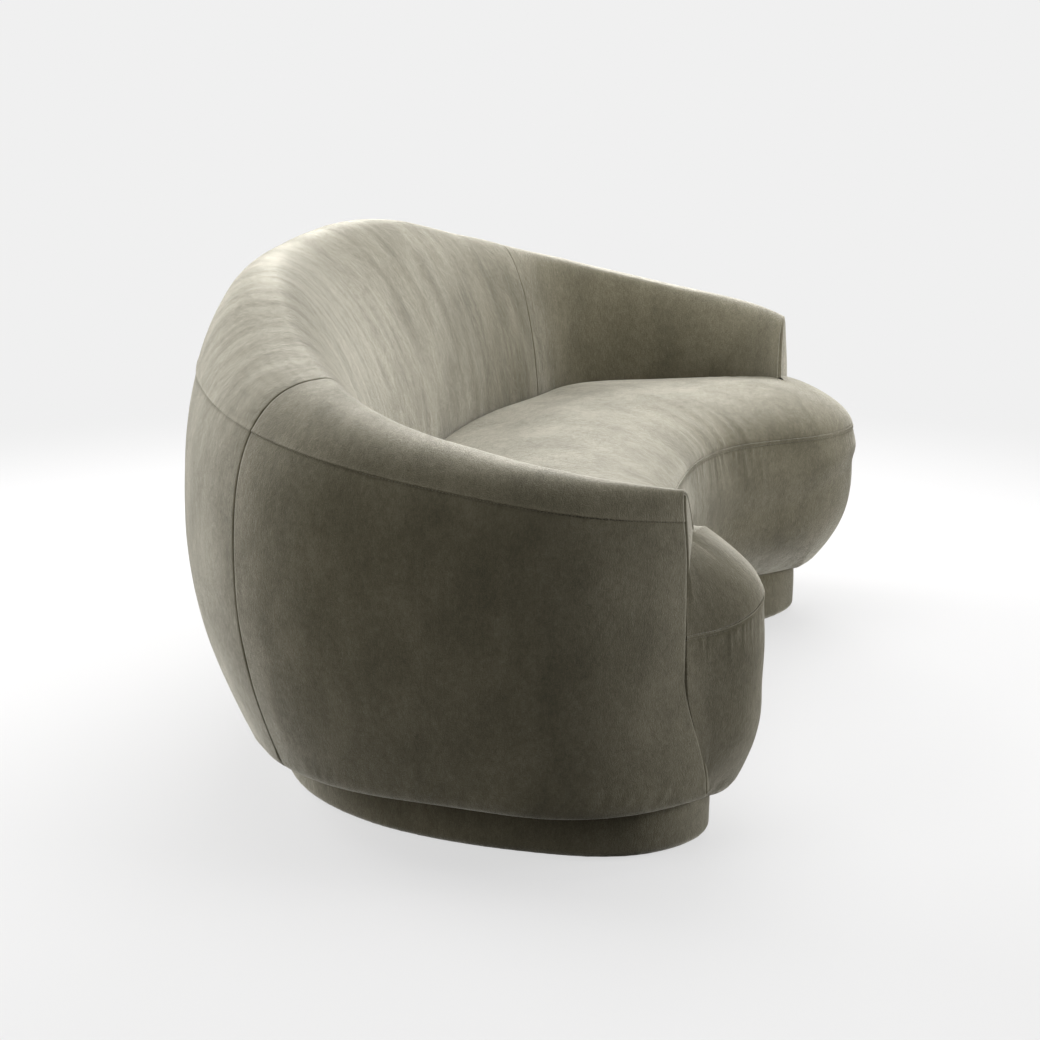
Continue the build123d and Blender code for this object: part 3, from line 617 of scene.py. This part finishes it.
def front_place(side, t):
    """The seat's front line at t, for x > 0. The right lobe runs out to the arm's edge in an even
    curve."""
    t = min(t, 1.0)
    edge_y = front_y(side, seam_height_facing) + lobe_tip_step[side]
    edge = np.array([plan_place(edge_y)[0] - 2.0, edge_y])
    if side < 0 and t > lobe_end:
        start, before = front_place(side, lobe_end), front_place(side, lobe_end - 0.01)
        ahead = (start - before) / np.hypot(*(start - before))
        f = (t - lobe_end) / (1 - lobe_end)
        weights = (1 - f) ** 3, 3 * f * (1 - f) ** 2, 3 * f * f * (1 - f), f**3
        corners = start, start + lobe_handle * ahead, edge - tip_handle, edge
        return sum(w * c for w, c in zip(weights, corners))
    front = pick(front_line, np.array([half_front * (1 + t)]), front_s)[0]
    front[1] -= lobe_step[side] * ease(t, 0.5, 0.25) * (1 - ease(t, 0.9, 0.1))
    return blend(front, edge, ease(t, 0.93, 0.07))


def seat_span(side, t):
    """Front point, direction, length and squareness of the span at t, for x > 0."""
    front = front_place(side, t)
    along = front_place(side, t + 0.001) - front_place(side, t - 0.001)
    along = along / np.hypot(*along)
    u = min(t / corner_t, 1.0)
    x, y, nx, ny = (float(v[0]) for v in plan(np.array([u])))
    r = -float(through(wall_widths, u)) + into_wall
    back = np.array([x + nx * r, y + ny * r])
    if t > corner_t:
        f = (t - corner_t) / (1 - corner_t)
        outer = plan_place(front_y(side, facing_meets))[0]
        back_x = back[0] + f * (outer - 6.0 - back[0])
        facing_y = front_y(side, facing_meets, back_x - outer) + into_facing
        back = np.array([back_x, blend(back[1], facing_y, smooth_step(f / 0.3))])
    run = back - front
    length = max(float(np.hypot(*run)), 1.5)
    run = run / length
    square = max(run[0] * -along[1] + run[1] * along[0], 0.45)
    return front, run, length, square


def seam_z(side, t):
    front = seam_height + seam_step[side] * ease(t, 0.4, 0.3)
    return blend(front, seam_height_facing, ease(t, seam_fall_from[side], 0.25))


# %% Section of the seat
tuck_run, tuck_fall = 55.0, 17.0
foot_radius = 17.0
inner_u = np.linspace(-1, 1, 301)
inner_x, inner_y, inner_nx, inner_ny = plan(inner_u)
inner_r = -through(wall_widths, inner_u)
behind_seat = [pairs(inner_x + inner_nx * inner_r, inner_y + inner_ny * inner_r)]
for side, _ in sides:
    facing_y = front_y(side, facing_meets)
    outer_x = plan_place(facing_y)[0]
    facing_x = np.linspace(outer_x - wall_widths[-1][1], outer_x, 30)
    behind_seat.append(pairs(side * facing_x, np.full(30, facing_y)))
behind_seat = np.vstack(behind_seat)


def from_wall(x, y):
    """How far a place on the seat is from the wall or an arm's facing."""
    apart = pairs(x, y)[:, None] - behind_seat[None]
    return np.sqrt((apart**2).sum(axis=2)).min(axis=1)


def border_section(side, t, seam, length, square):
    """(rho, z) points of the border, from the underside up to the seam. rho runs inward."""
    lobe = ease(t, 0.55, 0.25)
    hang = blend(foot_hang, lobe_hang[side] * (1 - 0.6 * ease(t, 0.9, 0.1)), lobe)
    tuck = blend(border_tuck, lobe_tuck[side], lobe) / square
    full = blend(border_full_height, lobe_full_height[side], lobe)
    bulge = blend(border_bulge, lobe_bulge[side], lobe)
    z = np.linspace(body_bottom, seam, 90)
    share = np.clip((full - z) / (full - body_bottom), 0, 1)
    high = np.clip((seam - z) / (seam - full), 0, 1)
    tuck = tuck * math.tanh((0.75 * length + 16) / tuck)
    rho = tuck * share**border_power - bulge * np.sin(math.pi * high) ** 2
    z = z - hang * share**2
    return rounded_foot(pairs(-rho, z), radius=foot_radius) * [-1, 1]


def top_section(side, t, seam, front, run, length, square):
    """(rho, z) points of the top, from the seam over the front roll and back to the wall."""
    rho = length * (1 - np.cos(np.linspace(0, math.pi / 2, 130)))
    reach = crown_reach / square
    if side < 0:
        reach = blend(reach, max(1.5 * length, 24.0), ease(t, 0.6, 0.15))
    roll = np.clip(rho / reach, 0, 1)
    z = seam + (crown_height - seam) * (1 - (1 - roll) ** 1.95) ** (1 / 1.8)
    drop = (10 + 22 * (1 - min(t / corner_t, 1.0) ** 2)) * (1 - ease(t, 0.5, 0.2))
    z = z - drop * ease(rho / length, 0.5, 0.45)
    inland = np.clip(rho / min(110, length + 10), 0, 1) ** 1.5
    z = z + lobe_rise[side] * ease(t, 0.5, 0.18) * inland
    near = from_wall(side * (front[0] + run[0] * rho), front[1] + run[1] * rho)
    near = np.where(rho > length - 6, 0, near)
    fall = tuck_fall * (1 - ease(t, 0.5, 0.17)) * min(length / 200, 1.0)
    return pairs(rho, z + rolled(near, tuck_run, fall))


def seat_path(t):
    """The seat's whole section at t, the seam's distance along it, and the span's front and run."""
    side, t = (1 if t > 0 else -1), abs(t)
    front, run, length, square = seat_span(side, t)
    seam = float(seam_z(side, t))
    border = border_section(side, t, seam, length, square)
    top = top_section(side, t, seam, front, run, length, square)
    return np.vstack([border, top[1:]]), lengths(border)[-1], front, run


# %% Seat grids
band_half = 3.2
border_rows, top_rows = graded(SPAN, SPAN / 52), graded(SPAN, SPAN / 84)
half_ts = [0.0]
while half_ts[-1] < 1:
    at = half_ts[-1]
    half_ts.append(at + (2.3 if at > 0.7 else 3.2 if 0.2 < at < 0.56 else 6.0) / half_front)
half_ts = np.minimum(half_ts, 1.0)
seat_ts = np.concatenate([-half_ts[:0:-1], half_ts])


def seat_grid(cut):
    """Points of a seat panel, distances along (s) and across (d), and the seam's and the section's
    lengths. cut(seam, total) gives where the rows lie along a section."""
    points, across, seams, totals = [], [], [], []
    for t in seat_ts:
        path, seam, front, run = seat_path(t)
        total = lengths(path)[-1]
        at = cut(seam, total)
        rho, z = pick(path, at).T
        side = -1 if t < 0 else 1
        x, y = front[0] + run[0] * rho, front[1] + run[1] * rho
        low = np.minimum(z, seam_height_facing)
        low_y, seam_y = front_y(side, low), front_y(side, seam_height_facing)
        edge_x = plan_place(low_y)[0] - plan_place(seam_y)[0]
        below = np.clip((bulge_height - low) / (bulge_height - body_bottom), 0, 1)
        edge_x = edge_x + foot_flare * below**flare_power
        weight = ease(abs(t), 0.9, 0.1)
        x, y = x + edge_x * weight, y + (low_y - seam_y) * weight
        points.append(np.stack([side * x, y, z], axis=1))
        across.append(at)
        seams.append(seam)
        totals.append(total)
    d = np.array(across)
    s = np.repeat(seat_ts[:, None] * half_front, d.shape[1], axis=1)
    return np.array(points), s, d, np.array(seams)[:, None], np.array(totals)[:, None]


print("seat:", len(seat_ts), "spans")

# %% [markdown]
# ## Gathers and wrinkles of the seat
# Where a flat cloth is sewn to a curved edge, there is too much of it on one side. Below the seam
# it stands in gathers, closest round the lobes and longest in the hollow at the middle. Above the
# seam the top is pulled into fine lines where the edge curves in.

# %% Heights on the seat
gather_rng = np.random.default_rng(29)
gathers = []
at = -half_front + 16
while at < half_front - 16:
    t = abs(at) / half_front
    hollow, lobe = hump(t, 0.37, 0.13), hump(t, 0.86, 0.1)
    height = gather_rng.uniform(0.15, 1.0) ** 1.3 * (0.3 + 2.3 * hollow + 1.35 * lobe)
    length = gather_rng.uniform(16, 46) * (1 + 2.6 * hollow * gather_rng.uniform(0, 1) ** 2)
    gathers.append((at, gather_rng.uniform(2.3, 3.4) * (1 + 0.8 * hollow), length, height,
                    gather_rng.uniform(-0.1, 0.1) + 0.16 * hollow * np.sign(at)))
    at += gather_rng.uniform(5.5, 9.5) * (1 + 0.7 * hollow)
crown_lines = []
for at in np.arange(-0.62 * half_front, 0.62 * half_front, 10.0):
    hollow = hump(abs(at) / half_front, 0.33, 0.17)
    crown_lines.append((at + gather_rng.uniform(-4, 4), gather_rng.uniform(3.5, 6.0),
                        gather_rng.uniform(90, 240) * (0.4 + 0.6 * hollow),
                        gather_rng.uniform(0.15, 1.0) * (0.16 + 0.95 * hollow),
                        gather_rng.uniform(-0.1, 0.05) * np.sign(at)))
print(len(gathers), "gathers,", len(crown_lines), "fine lines")


def calm_tip(s):
    """Fades the relief where the lobe's cover narrows to nothing at the arm's edge."""
    return smooth_step((half_front - np.abs(s)) / 45)


def border_height(s, d, seam, total):
    down = seam - band_half - d
    high = 0.8 * uneven(s, d, 1)
    for at, width, length, height, slant in gathers:
        high += fold(s, down, at, width, length, height, slant)
    high += foot_puckers(s, d, 41) * 0.8
    return (high + rolled(down, 4.0, 1.3)) * calm_tip(s)


def top_height(s, d, seam, total):
    up = d - seam - band_half
    high = 0.9 * uneven(s, d, 2) * np.clip(up / 30, 0, 1)
    for at, width, length, height, slant in crown_lines:
        high += fold(s, up, at, width * 1.3, length, height, slant)
    high += rolled(up, 3.0, 0.8)
    return high * calm_tip(s) * np.clip((total - d) / 20, 0, 1)


# %% Make the seat's panels
band_across = np.array([-1, -0.96, -0.8, -0.55, -0.25, 0, 0.25, 0.55, 0.8, 0.96, 1])
band_lift = np.array([-2.6, 0.1, 1.1, 0.75, 0.45, 0.4, 0.5, 0.9, 1.6, 0.3, -2.6])


def seat_panel(name, fill, cut, height, *replaced):
    points, s, d, seam, total = seat_grid(cut)
    points = points + normals_of(points) * height(s, d, seam, total)[..., None]
    points, s, d = turn_in(points, 0 * points, s, d, (0, -1), 0.0, 14.0)
    upholster(grid_object(name, points, s, d), fill, *replaced)


seat_panel("seat_border", 0.9, lambda seam, total: stretch(border_rows, 0.0, seam - band_half),
           border_height, "seat_border_cover", "seat_border_foam", "lobe_foam_left",
           "lobe_foam_right")
seat_panel("seat_top", 0.95, lambda seam, total: stretch(top_rows, seam + band_half, total),
           top_height, "seat_top_cover", "seat_wadding", "seat_foam_topper")

points, s, d, _, _ = seat_grid(lambda seam, total: seam + band_half * band_across)
points = points + normals_of(points) * band_lift[None, :, None]
upholster(grid_object("seat_seam_band", points, s, d), 1.0, "seat_welt")

# %% [markdown]
# ## The plinth
# The plinth is a low frame with thin padding and the same velvet, its lower edge rounded and pulled
# under. It is set back, so that the body seems to float over it.

# %% Make the plinth's cover
plinth_low, plinth_round = 3.0, 12.0
bend = np.linspace(0, math.pi / 2, 12)
plinth_profile = np.vstack([
    [[-34.0, 3.2]],
    pairs(-plinth_round + plinth_round * np.sin(bend),
          plinth_low + plinth_round - plinth_round * np.cos(bend)),
    [[0.6, 32], [1.1, 55], [0.8, 72], [-0.3, 86], [-3.0, 93.0], [-14.0, 93.4]]])
plinth_profile = even(cubic_line(plinth_profile, samples=200), 40)
plinth_path = cubic_line(mirrored(plinth_line)[1:], closed=True, samples=1401)[:-1]
around = lengths(plinth_path)
along = unit(np.roll(plinth_path, -1, axis=0) - np.roll(plinth_path, 1, axis=0))
outward = pairs(-along[:, 1], along[:, 0])
s = np.repeat(around[:, None], len(plinth_profile), axis=1)
d = np.repeat(lengths(plinth_profile)[None, :], len(plinth_path), axis=0)
plinth_rng = np.random.default_rng(5)
puckers = 0.5 * uneven(s, d, 3)
for at in np.arange(10, around[-1] - 10, 21.0):
    at = at + plinth_rng.uniform(-9, 9)
    puckers += fold(s, d - 22, at, plinth_rng.uniform(3.5, 7), plinth_rng.uniform(12, 34),
                    plinth_rng.uniform(0.2, 1.3), plinth_rng.uniform(-0.2, 0.2), start=-10)
offset = plinth_profile[None, :, 0] + puckers
points = np.dstack([plinth_path[:, None] + outward[:, None] * offset[..., None],
                    np.broadcast_to(plinth_profile[:, 1], offset.shape)])
plinth = grid_object("plinth_band", points, s, d, flip=True, closed=True)
upholster(plinth, 0.9, "plinth_cover", "plinth_padding")

# %% [markdown]
# ## Velvet
# Velvet is a woven cloth with a short cut pile. Light glances off the tips of the pile, so it is
# pale where it is seen edge on, and it shades in patches and brush marks where the pile leans.
# Sheen gives the pale edges, and noise stretched along the pile gives the brush marks.

# %% Colours and node helpers
def srgb(hex_colour):
    """An sRGB hex colour as linear RGBA."""
    value = [int(hex_colour[i:i + 2], 16) / 255 for i in (1, 3, 5)]
    return [v / 12.92 if v <= 0.04045 else ((v + 0.055) / 1.055) ** 2.4 for v in value] + [1.0]


def add(tree, kind, links=None, **settings):
    """Adds a node. settings are its properties or, for a name that is a socket, its value; links
    are {input: output socket}."""
    node = tree.nodes.new("ShaderNode" + kind)
    for key, value in settings.items():
        if hasattr(node, key):
            setattr(node, key, value)
        else:
            node.inputs[key.replace("_", " ")].default_value = value
    for key, output in (links or {}).items():
        tree.links.new(output, node.inputs[key])
    return node


def colour_ramp(tree, level, first, last, *between):
    """The colour at a level on a ramp of (place, hex colour) stops."""
    ramp = add(tree, "ValToRGB", {"Fac": level})
    elements = ramp.color_ramp.elements
    for k, (place, colour) in enumerate((first, last)):
        elements[k].position, elements[k].color = place, srgb(colour)
    for place, colour in between:
        elements.new(place).color = srgb(colour)
    return ramp.outputs[0]


def new_material(name):
    material = bpy.data.materials.new(name)
    material.use_nodes = True
    material.node_tree.nodes.clear()
    return material, material.node_tree


def finish(tree, shader):
    add(tree, "OutputMaterial", {"Surface": shader.outputs[0]})


# %% The velvet
patch_size, stroke_width, fleck_size, brush_width, nap_size = 70.0, 24.0, 11.0, 2.6, 1.5
patch_share, fleck_share, brush_share, nap_share = 0.36, 0.4, 0.34, 0.46


def velvet(name, dark, middle, light, strokes):
    """Cut pile. strokes is the share of the marks that a hand leaves."""
    material, tree = new_material(name)
    cloth = add(tree, "UVMap", uv_map="pile")
    lowest = 0.5 - 0.5 * (patch_share + strokes + fleck_share + brush_share + nap_share)

    def mottle(size_mm, longer, share, below, **settings):
        """Noise of one size, stretched along the pile, added to what is below it."""
        scale = 1.0 / (size_mm * MM)
        place = add(tree, "Mapping", {"Vector": cloth.outputs["UV"]},
                    Scale=(scale, scale / longer, 1.0))
        marks = add(tree, "TexNoise", {"Vector": place.outputs[0]}, Scale=1.0, **settings)
        total = add(tree, "Math", {0: marks.outputs["Fac"]}, operation="MULTIPLY_ADD")
        total.inputs[1].default_value = share
        if below is None:
            total.inputs[2].default_value = lowest
        else:
            tree.links.new(below.outputs[0], total.inputs[2])
        return total

    patches = mottle(patch_size, 1.6, patch_share, None, Detail=2.0, Roughness=0.5, Distortion=0.3)
    bands = mottle(stroke_width, 11.0, strokes, patches, Detail=2.0, Roughness=0.5)
    flecks = mottle(fleck_size, 1.5, fleck_share, bands, Detail=5.0, Roughness=0.72, Distortion=0.3)
    brushed = mottle(brush_width, 3.0, brush_share, flecks, Detail=3.0, Roughness=0.65)
    nap = mottle(nap_size, 1.4, nap_share, brushed, Detail=2.0, Roughness=0.65).outputs[0]
    colour = colour_ramp(tree, nap, (0.3, dark), (0.72, light), (0.5, middle))
    rough = add(tree, "Bump", {"Height": nap}, Strength=0.6, Distance=0.0026)
    upright = add(tree, "MapRange", {"Value": nap},
                  From_Min=0.36, From_Max=0.62, To_Min=0.58, To_Max=1.0)
    shader = add(tree, "BsdfPrincipled",
                 {"Base Color": colour, "Normal": rough.outputs[0],
                  "Sheen Weight": upright.outputs[0]}, Roughness=0.85, Sheen_Roughness=0.5)
    shader.inputs["Sheen Tint"].default_value = srgb("#FFFBEE")
    shader.inputs["Specular IOR Level"].default_value = 0.15
    finish(tree, shader)
    return material


olive = "#474334", "#57523F", "#6B6552"
olive_velvet = velvet("olive_grey_cut_velvet", *olive, strokes=0.08)
stroked_velvet = velvet("olive_grey_cut_velvet_stroked", *olive, strokes=0.3)
for piece in pieces:
    stroked = piece.name.startswith("back_inner")
    piece.data.materials.append(stroked_velvet if stroked else olive_velvet)
print("velvet on", len(pieces), "panels")

# %% [markdown]
# ## Stitches
# A row of topstitches holds the folded edge beside a seam, one mesh for each seam. Each stitch
# sinks into the pile at both ends.

# %% Thread and stitch rows
stitch_pitch, stitch_length, thread, thread_sides = 5.0, 3.4, 0.42, 6
stitch_drop, stitch_clear, stitch_end = 4.6, 0.003, 0.992
# Rings along a stitch: place along it, size and height over the cloth.
stitch_rings = ((0, 0.35, -0.5), (0.2, 0.9, 0.1), (0.5, 1.0, 0.3), (0.8, 0.9, 0.1), (1, 0.35, -0.5))


def stitch_row(name, line, normal):
    """Stitches along a line of points on the cloth (millimetres), standing on its normals."""
    s = lengths(line)
    at = np.arange(stitch_pitch, s[-1] - stitch_pitch, stitch_pitch)
    start, end = pick(line, at - stitch_length / 2, s), pick(line, at + stitch_length / 2, s)
    up = unit(pick(normal, at, s))
    beside = np.cross(unit(end - start), up)
    points = []
    for f, size, sink in stitch_rings:
        middle = start * (1 - f) + end * f + up * sink
        for k in range(thread_sides):
            angle = k * math.pi / (thread_sides / 2)
            spoke = beside * math.cos(angle) + up * math.sin(angle)
            points.append(middle + spoke * thread * size)
    faces = []
    for ring in range(0, thread_sides * (len(stitch_rings) - 1), thread_sides):
        for k in range(thread_sides):
            a, b = ring + k, ring + (k + 1) % thread_sides
            faces.append([a, b, b + thread_sides, a + thread_sides])
    every = np.array(faces)[None] + (np.arange(len(at)) * len(points))[:, None, None]
    mesh = smooth_mesh(name, np.array(points).transpose(1, 0, 2), every.reshape(-1, 4))
    mesh.materials.append(thread_material)
    made = new_object(name, mesh)
    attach(made, "root")
    print(name, len(at), "stitches")


def wall_line(u_from, u_to):
    """A line on the outer face, just below the roll seam, with its normals."""
    line, normal = [], []
    for u in np.linspace(u_from, u_to, 700):
        below = seam_split(u, True)
        total = lengths(below)[-1]
        rz = pick(below, np.array([total - stitch_drop - 1, total - stitch_drop]))
        x, y, nx, ny = (float(v[0]) for v in plan(np.array([u])))
        across = rz[1] - rz[0]
        out = np.array([across[1], -across[0]]) / np.hypot(*across)
        r, z = rz[1] + out * (-0.3)
        line.append([x + nx * r, y + ny * r, z])
        normal.append([nx * out[0], ny * out[0], out[1]])
    return np.array(line), np.array(normal)


thread_material, tree = new_material("polyester_thread")
wave = add(tree, "TexNoise", Scale=900.0, Detail=2.0)
colour = colour_ramp(tree, wave.outputs["Fac"], (0.0, "#6B6552"), (1.0, "#8E8872"))
finish(tree, add(tree, "BsdfPrincipled", {"Base Color": colour}, Roughness=0.55))
for label, u_from, u_to in (("back", -junction + stitch_clear, junction - stitch_clear),
                            ("arm_left", junction + stitch_clear, stitch_end),
                            ("arm_right", -stitch_end, -junction - stitch_clear)):
    stitch_row(f"roll_stitches_{label}", *wall_line(u_from, u_to))

# %% [markdown]
# ## The parts that stay from the CAD model
# The frame, springs, foam core and plinth frame keep their shapes. Each gets the finish of its real
# material, although the covers hide most of them.

# %% Wood, steel, foam and cloth for the hidden parts
def plain_material(name, dark, light, size_mm, longer, roughness, metallic=0.0):
    """A material with one stretched noise for grain, fibre or tool marks."""
    material, tree = new_material(name)
    place = add(tree, "TexCoord")
    scale = 1.0 / (size_mm * MM)
    mapped = add(tree, "Mapping", {"Vector": place.outputs["Object"]},
                 Scale=(scale, scale / longer, scale))
    grain = add(tree, "TexNoise", {"Vector": mapped.outputs[0]},
                Scale=1.0, Detail=5.0, Roughness=0.6).outputs["Fac"]
    colour = colour_ramp(tree, grain, (0.35, dark), (0.65, light))
    rough = add(tree, "Bump", {"Height": grain}, Strength=0.2, Distance=0.0005)
    shader = add(tree, "BsdfPrincipled", {"Base Color": colour, "Normal": rough.outputs[0]},
                 Roughness=roughness, Metallic=metallic)
    finish(tree, shader)
    return material


hidden = {
    "wadding": ("polyester_wadding", "#DCDCD6", "#F1F1EC", 6, 1, 0.95),
    "foam": ("polyether_foam", "#D9CB94", "#E8DCAE", 2, 1, 0.95),
    "felt": ("pressed_fibre_felt", "#5B5B60", "#8A8A90", 3, 4, 0.95),
    "spring_steel": ("phosphated_spring_wire", "#232325", "#38383A", 1, 6, 0.45, 0.9),
    "zinc_steel": ("zinc_plated_steel", "#A9ACAE", "#C9CCCE", 1, 3, 0.35, 1.0),
    "glide_plastic": ("moulded_polyethylene", "#161616", "#222222", 2, 1, 0.5),
    "plywood": ("birch_plywood", "#B98F5E", "#D9B585", 4, 14, 0.7),
    "hardwood": ("sawn_beech", "#B5835A", "#CFA277", 3, 18, 0.7),
    "dust_cloth": ("spun_bonded_cloth", "#101012", "#1E1E20", 2, 1, 0.9),
}
finishes = {slot: plain_material(*look) for slot, look in hidden.items()}
finishes["velvet"] = olive_velvet
slot_of = {row["node"]: row["material_slot"] for row in frame["record"]["subparts"]}
for name, node in nodes.items():
    node.data.materials.clear()
    node.data.materials.append(finishes[slot_of[name]])
print("finishes on", len(nodes), "CAD nodes")

# %% [markdown]
# ## Studio
# A pale floor that fades into a pale surround. Wide soft lamps hang overhead, at the far end and
# behind the back, and weaker ones before the seat. None stands beside the camera, so the near arm
# stays the darkest face and the velvet shows its pale edges.

# %% Floor and surround
pale = srgb("#F0F0F0")
fade_from, fade_to, floor_half = 1.3, 2.6, 30
# Diffuse near the sofa, so that it holds the shadow, and the surround's own colour far out.
floor_material, tree = new_material("pale_studio_floor")
place = add(tree, "NewGeometry")
away = add(tree, "VectorMath", {0: place.outputs["Position"]}, operation="LENGTH")
fade = add(tree, "MapRange", {"Value": away.outputs["Value"]}, From_Min=fade_from,
           From_Max=fade_to, interpolation_type="SMOOTHSTEP")
seen = add(tree, "LightPath").outputs["Is Camera Ray"]
both = add(tree, "Math", {0: fade.outputs[0], 1: seen}, operation="MULTIPLY")
far = add(tree, "Emission", Color=pale, Strength=1.0)
lit = add(tree, "BsdfDiffuse", Color=srgb("#D8D7D7"))
shown = add(tree, "MixShader", {1: lit.outputs[0], 2: far.outputs[0]}, Fac=0.72)
bounce = add(tree, "BsdfDiffuse", Color=srgb("#858483"))
near = add(tree, "MixShader", {0: seen, 1: bounce.outputs[0], 2: shown.outputs[0]})
finish(tree, add(tree, "MixShader", {0: both.outputs[0], 1: near.outputs[0], 2: far.outputs[0]}))

floor_mesh = bpy.data.meshes.new("floor")
corners = [(x * floor_half, y * floor_half, 0) for x, y in ((-1, -1), (1, -1), (1, 1), (-1, 1))]
floor_mesh.from_pydata(corners, [], [(0, 1, 2, 3)])
floor_mesh.materials.append(floor_material)
floor = new_object("floor", floor_mesh)

world = bpy.data.worlds.new("studio")
scene.world = world
world.use_nodes = True
tree = world.node_tree
tree.nodes.clear()
seen = add(tree, "LightPath").outputs["Is Camera Ray"]
room = add(tree, "Background", Color=srgb("#F4F3F1"), Strength=0.05)
backdrop = add(tree, "Background", Color=pale, Strength=1.0)
which = add(tree, "MixShader", {0: seen, 1: room.outputs[0], 2: backdrop.outputs[0]})
add(tree, "OutputWorld", {"Surface": which.outputs[0]})


# %% Lights
def aim(thing, place, target):
    """Puts a lamp or the camera at a place, turned to a target."""
    to = np.array(target) - np.array(place)
    thing.location = place
    thing.rotation_euler = (math.atan2(math.hypot(to[0], to[1]), -to[2]), 0.0,
                            math.atan2(to[1], to[0]) - math.pi / 2)


def soft_light(name, place, size, watts):
    data = bpy.data.lights.new(name, "AREA")
    data.shape = "RECTANGLE"
    data.size, data.size_y = size
    data.energy = watts
    aim(new_object(name, data), place, (0.0, 0.0, 0.4))


soft_light("overhead", (0.5, 0.0, 3.0), (2.6, 2.4), 86.0)
soft_light("far_end", (3.6, 0.0, 2.0), (2.4, 2.2), 150.0)
soft_light("behind_back", (1.0, 3.4, 1.9), (2.2, 2.0), 180.0)
soft_light("behind_near", (-3.0, 2.8, 1.6), (2.0, 2.0), 68.0)
soft_light("before_near", (-0.1, -3.3, 1.2), (1.8, 1.4), 72.0)
soft_light("before_far", (1.6, -3.2, 1.6), (2.0, 1.8), 38.0)
print("lamps:", len(bpy.data.lights))

# %% [markdown]
# ## Camera
# A long lens low to the side, nearly along the sofa's length.

# %% Place the camera
focal_length, picture_size, sensor_width = 2846.4, 1040, 36.0
camera_data = bpy.data.cameras.new("camera")
camera_data.sensor_width = sensor_width
camera_data.lens = focal_length / picture_size * sensor_width
camera = new_object("camera", camera_data)
aim(camera, (-4.6507, -0.8974, 1.4862), (0.0, 0.0078, 0.3094))
scene.camera = camera
scene.view_settings.view_transform = "Standard"
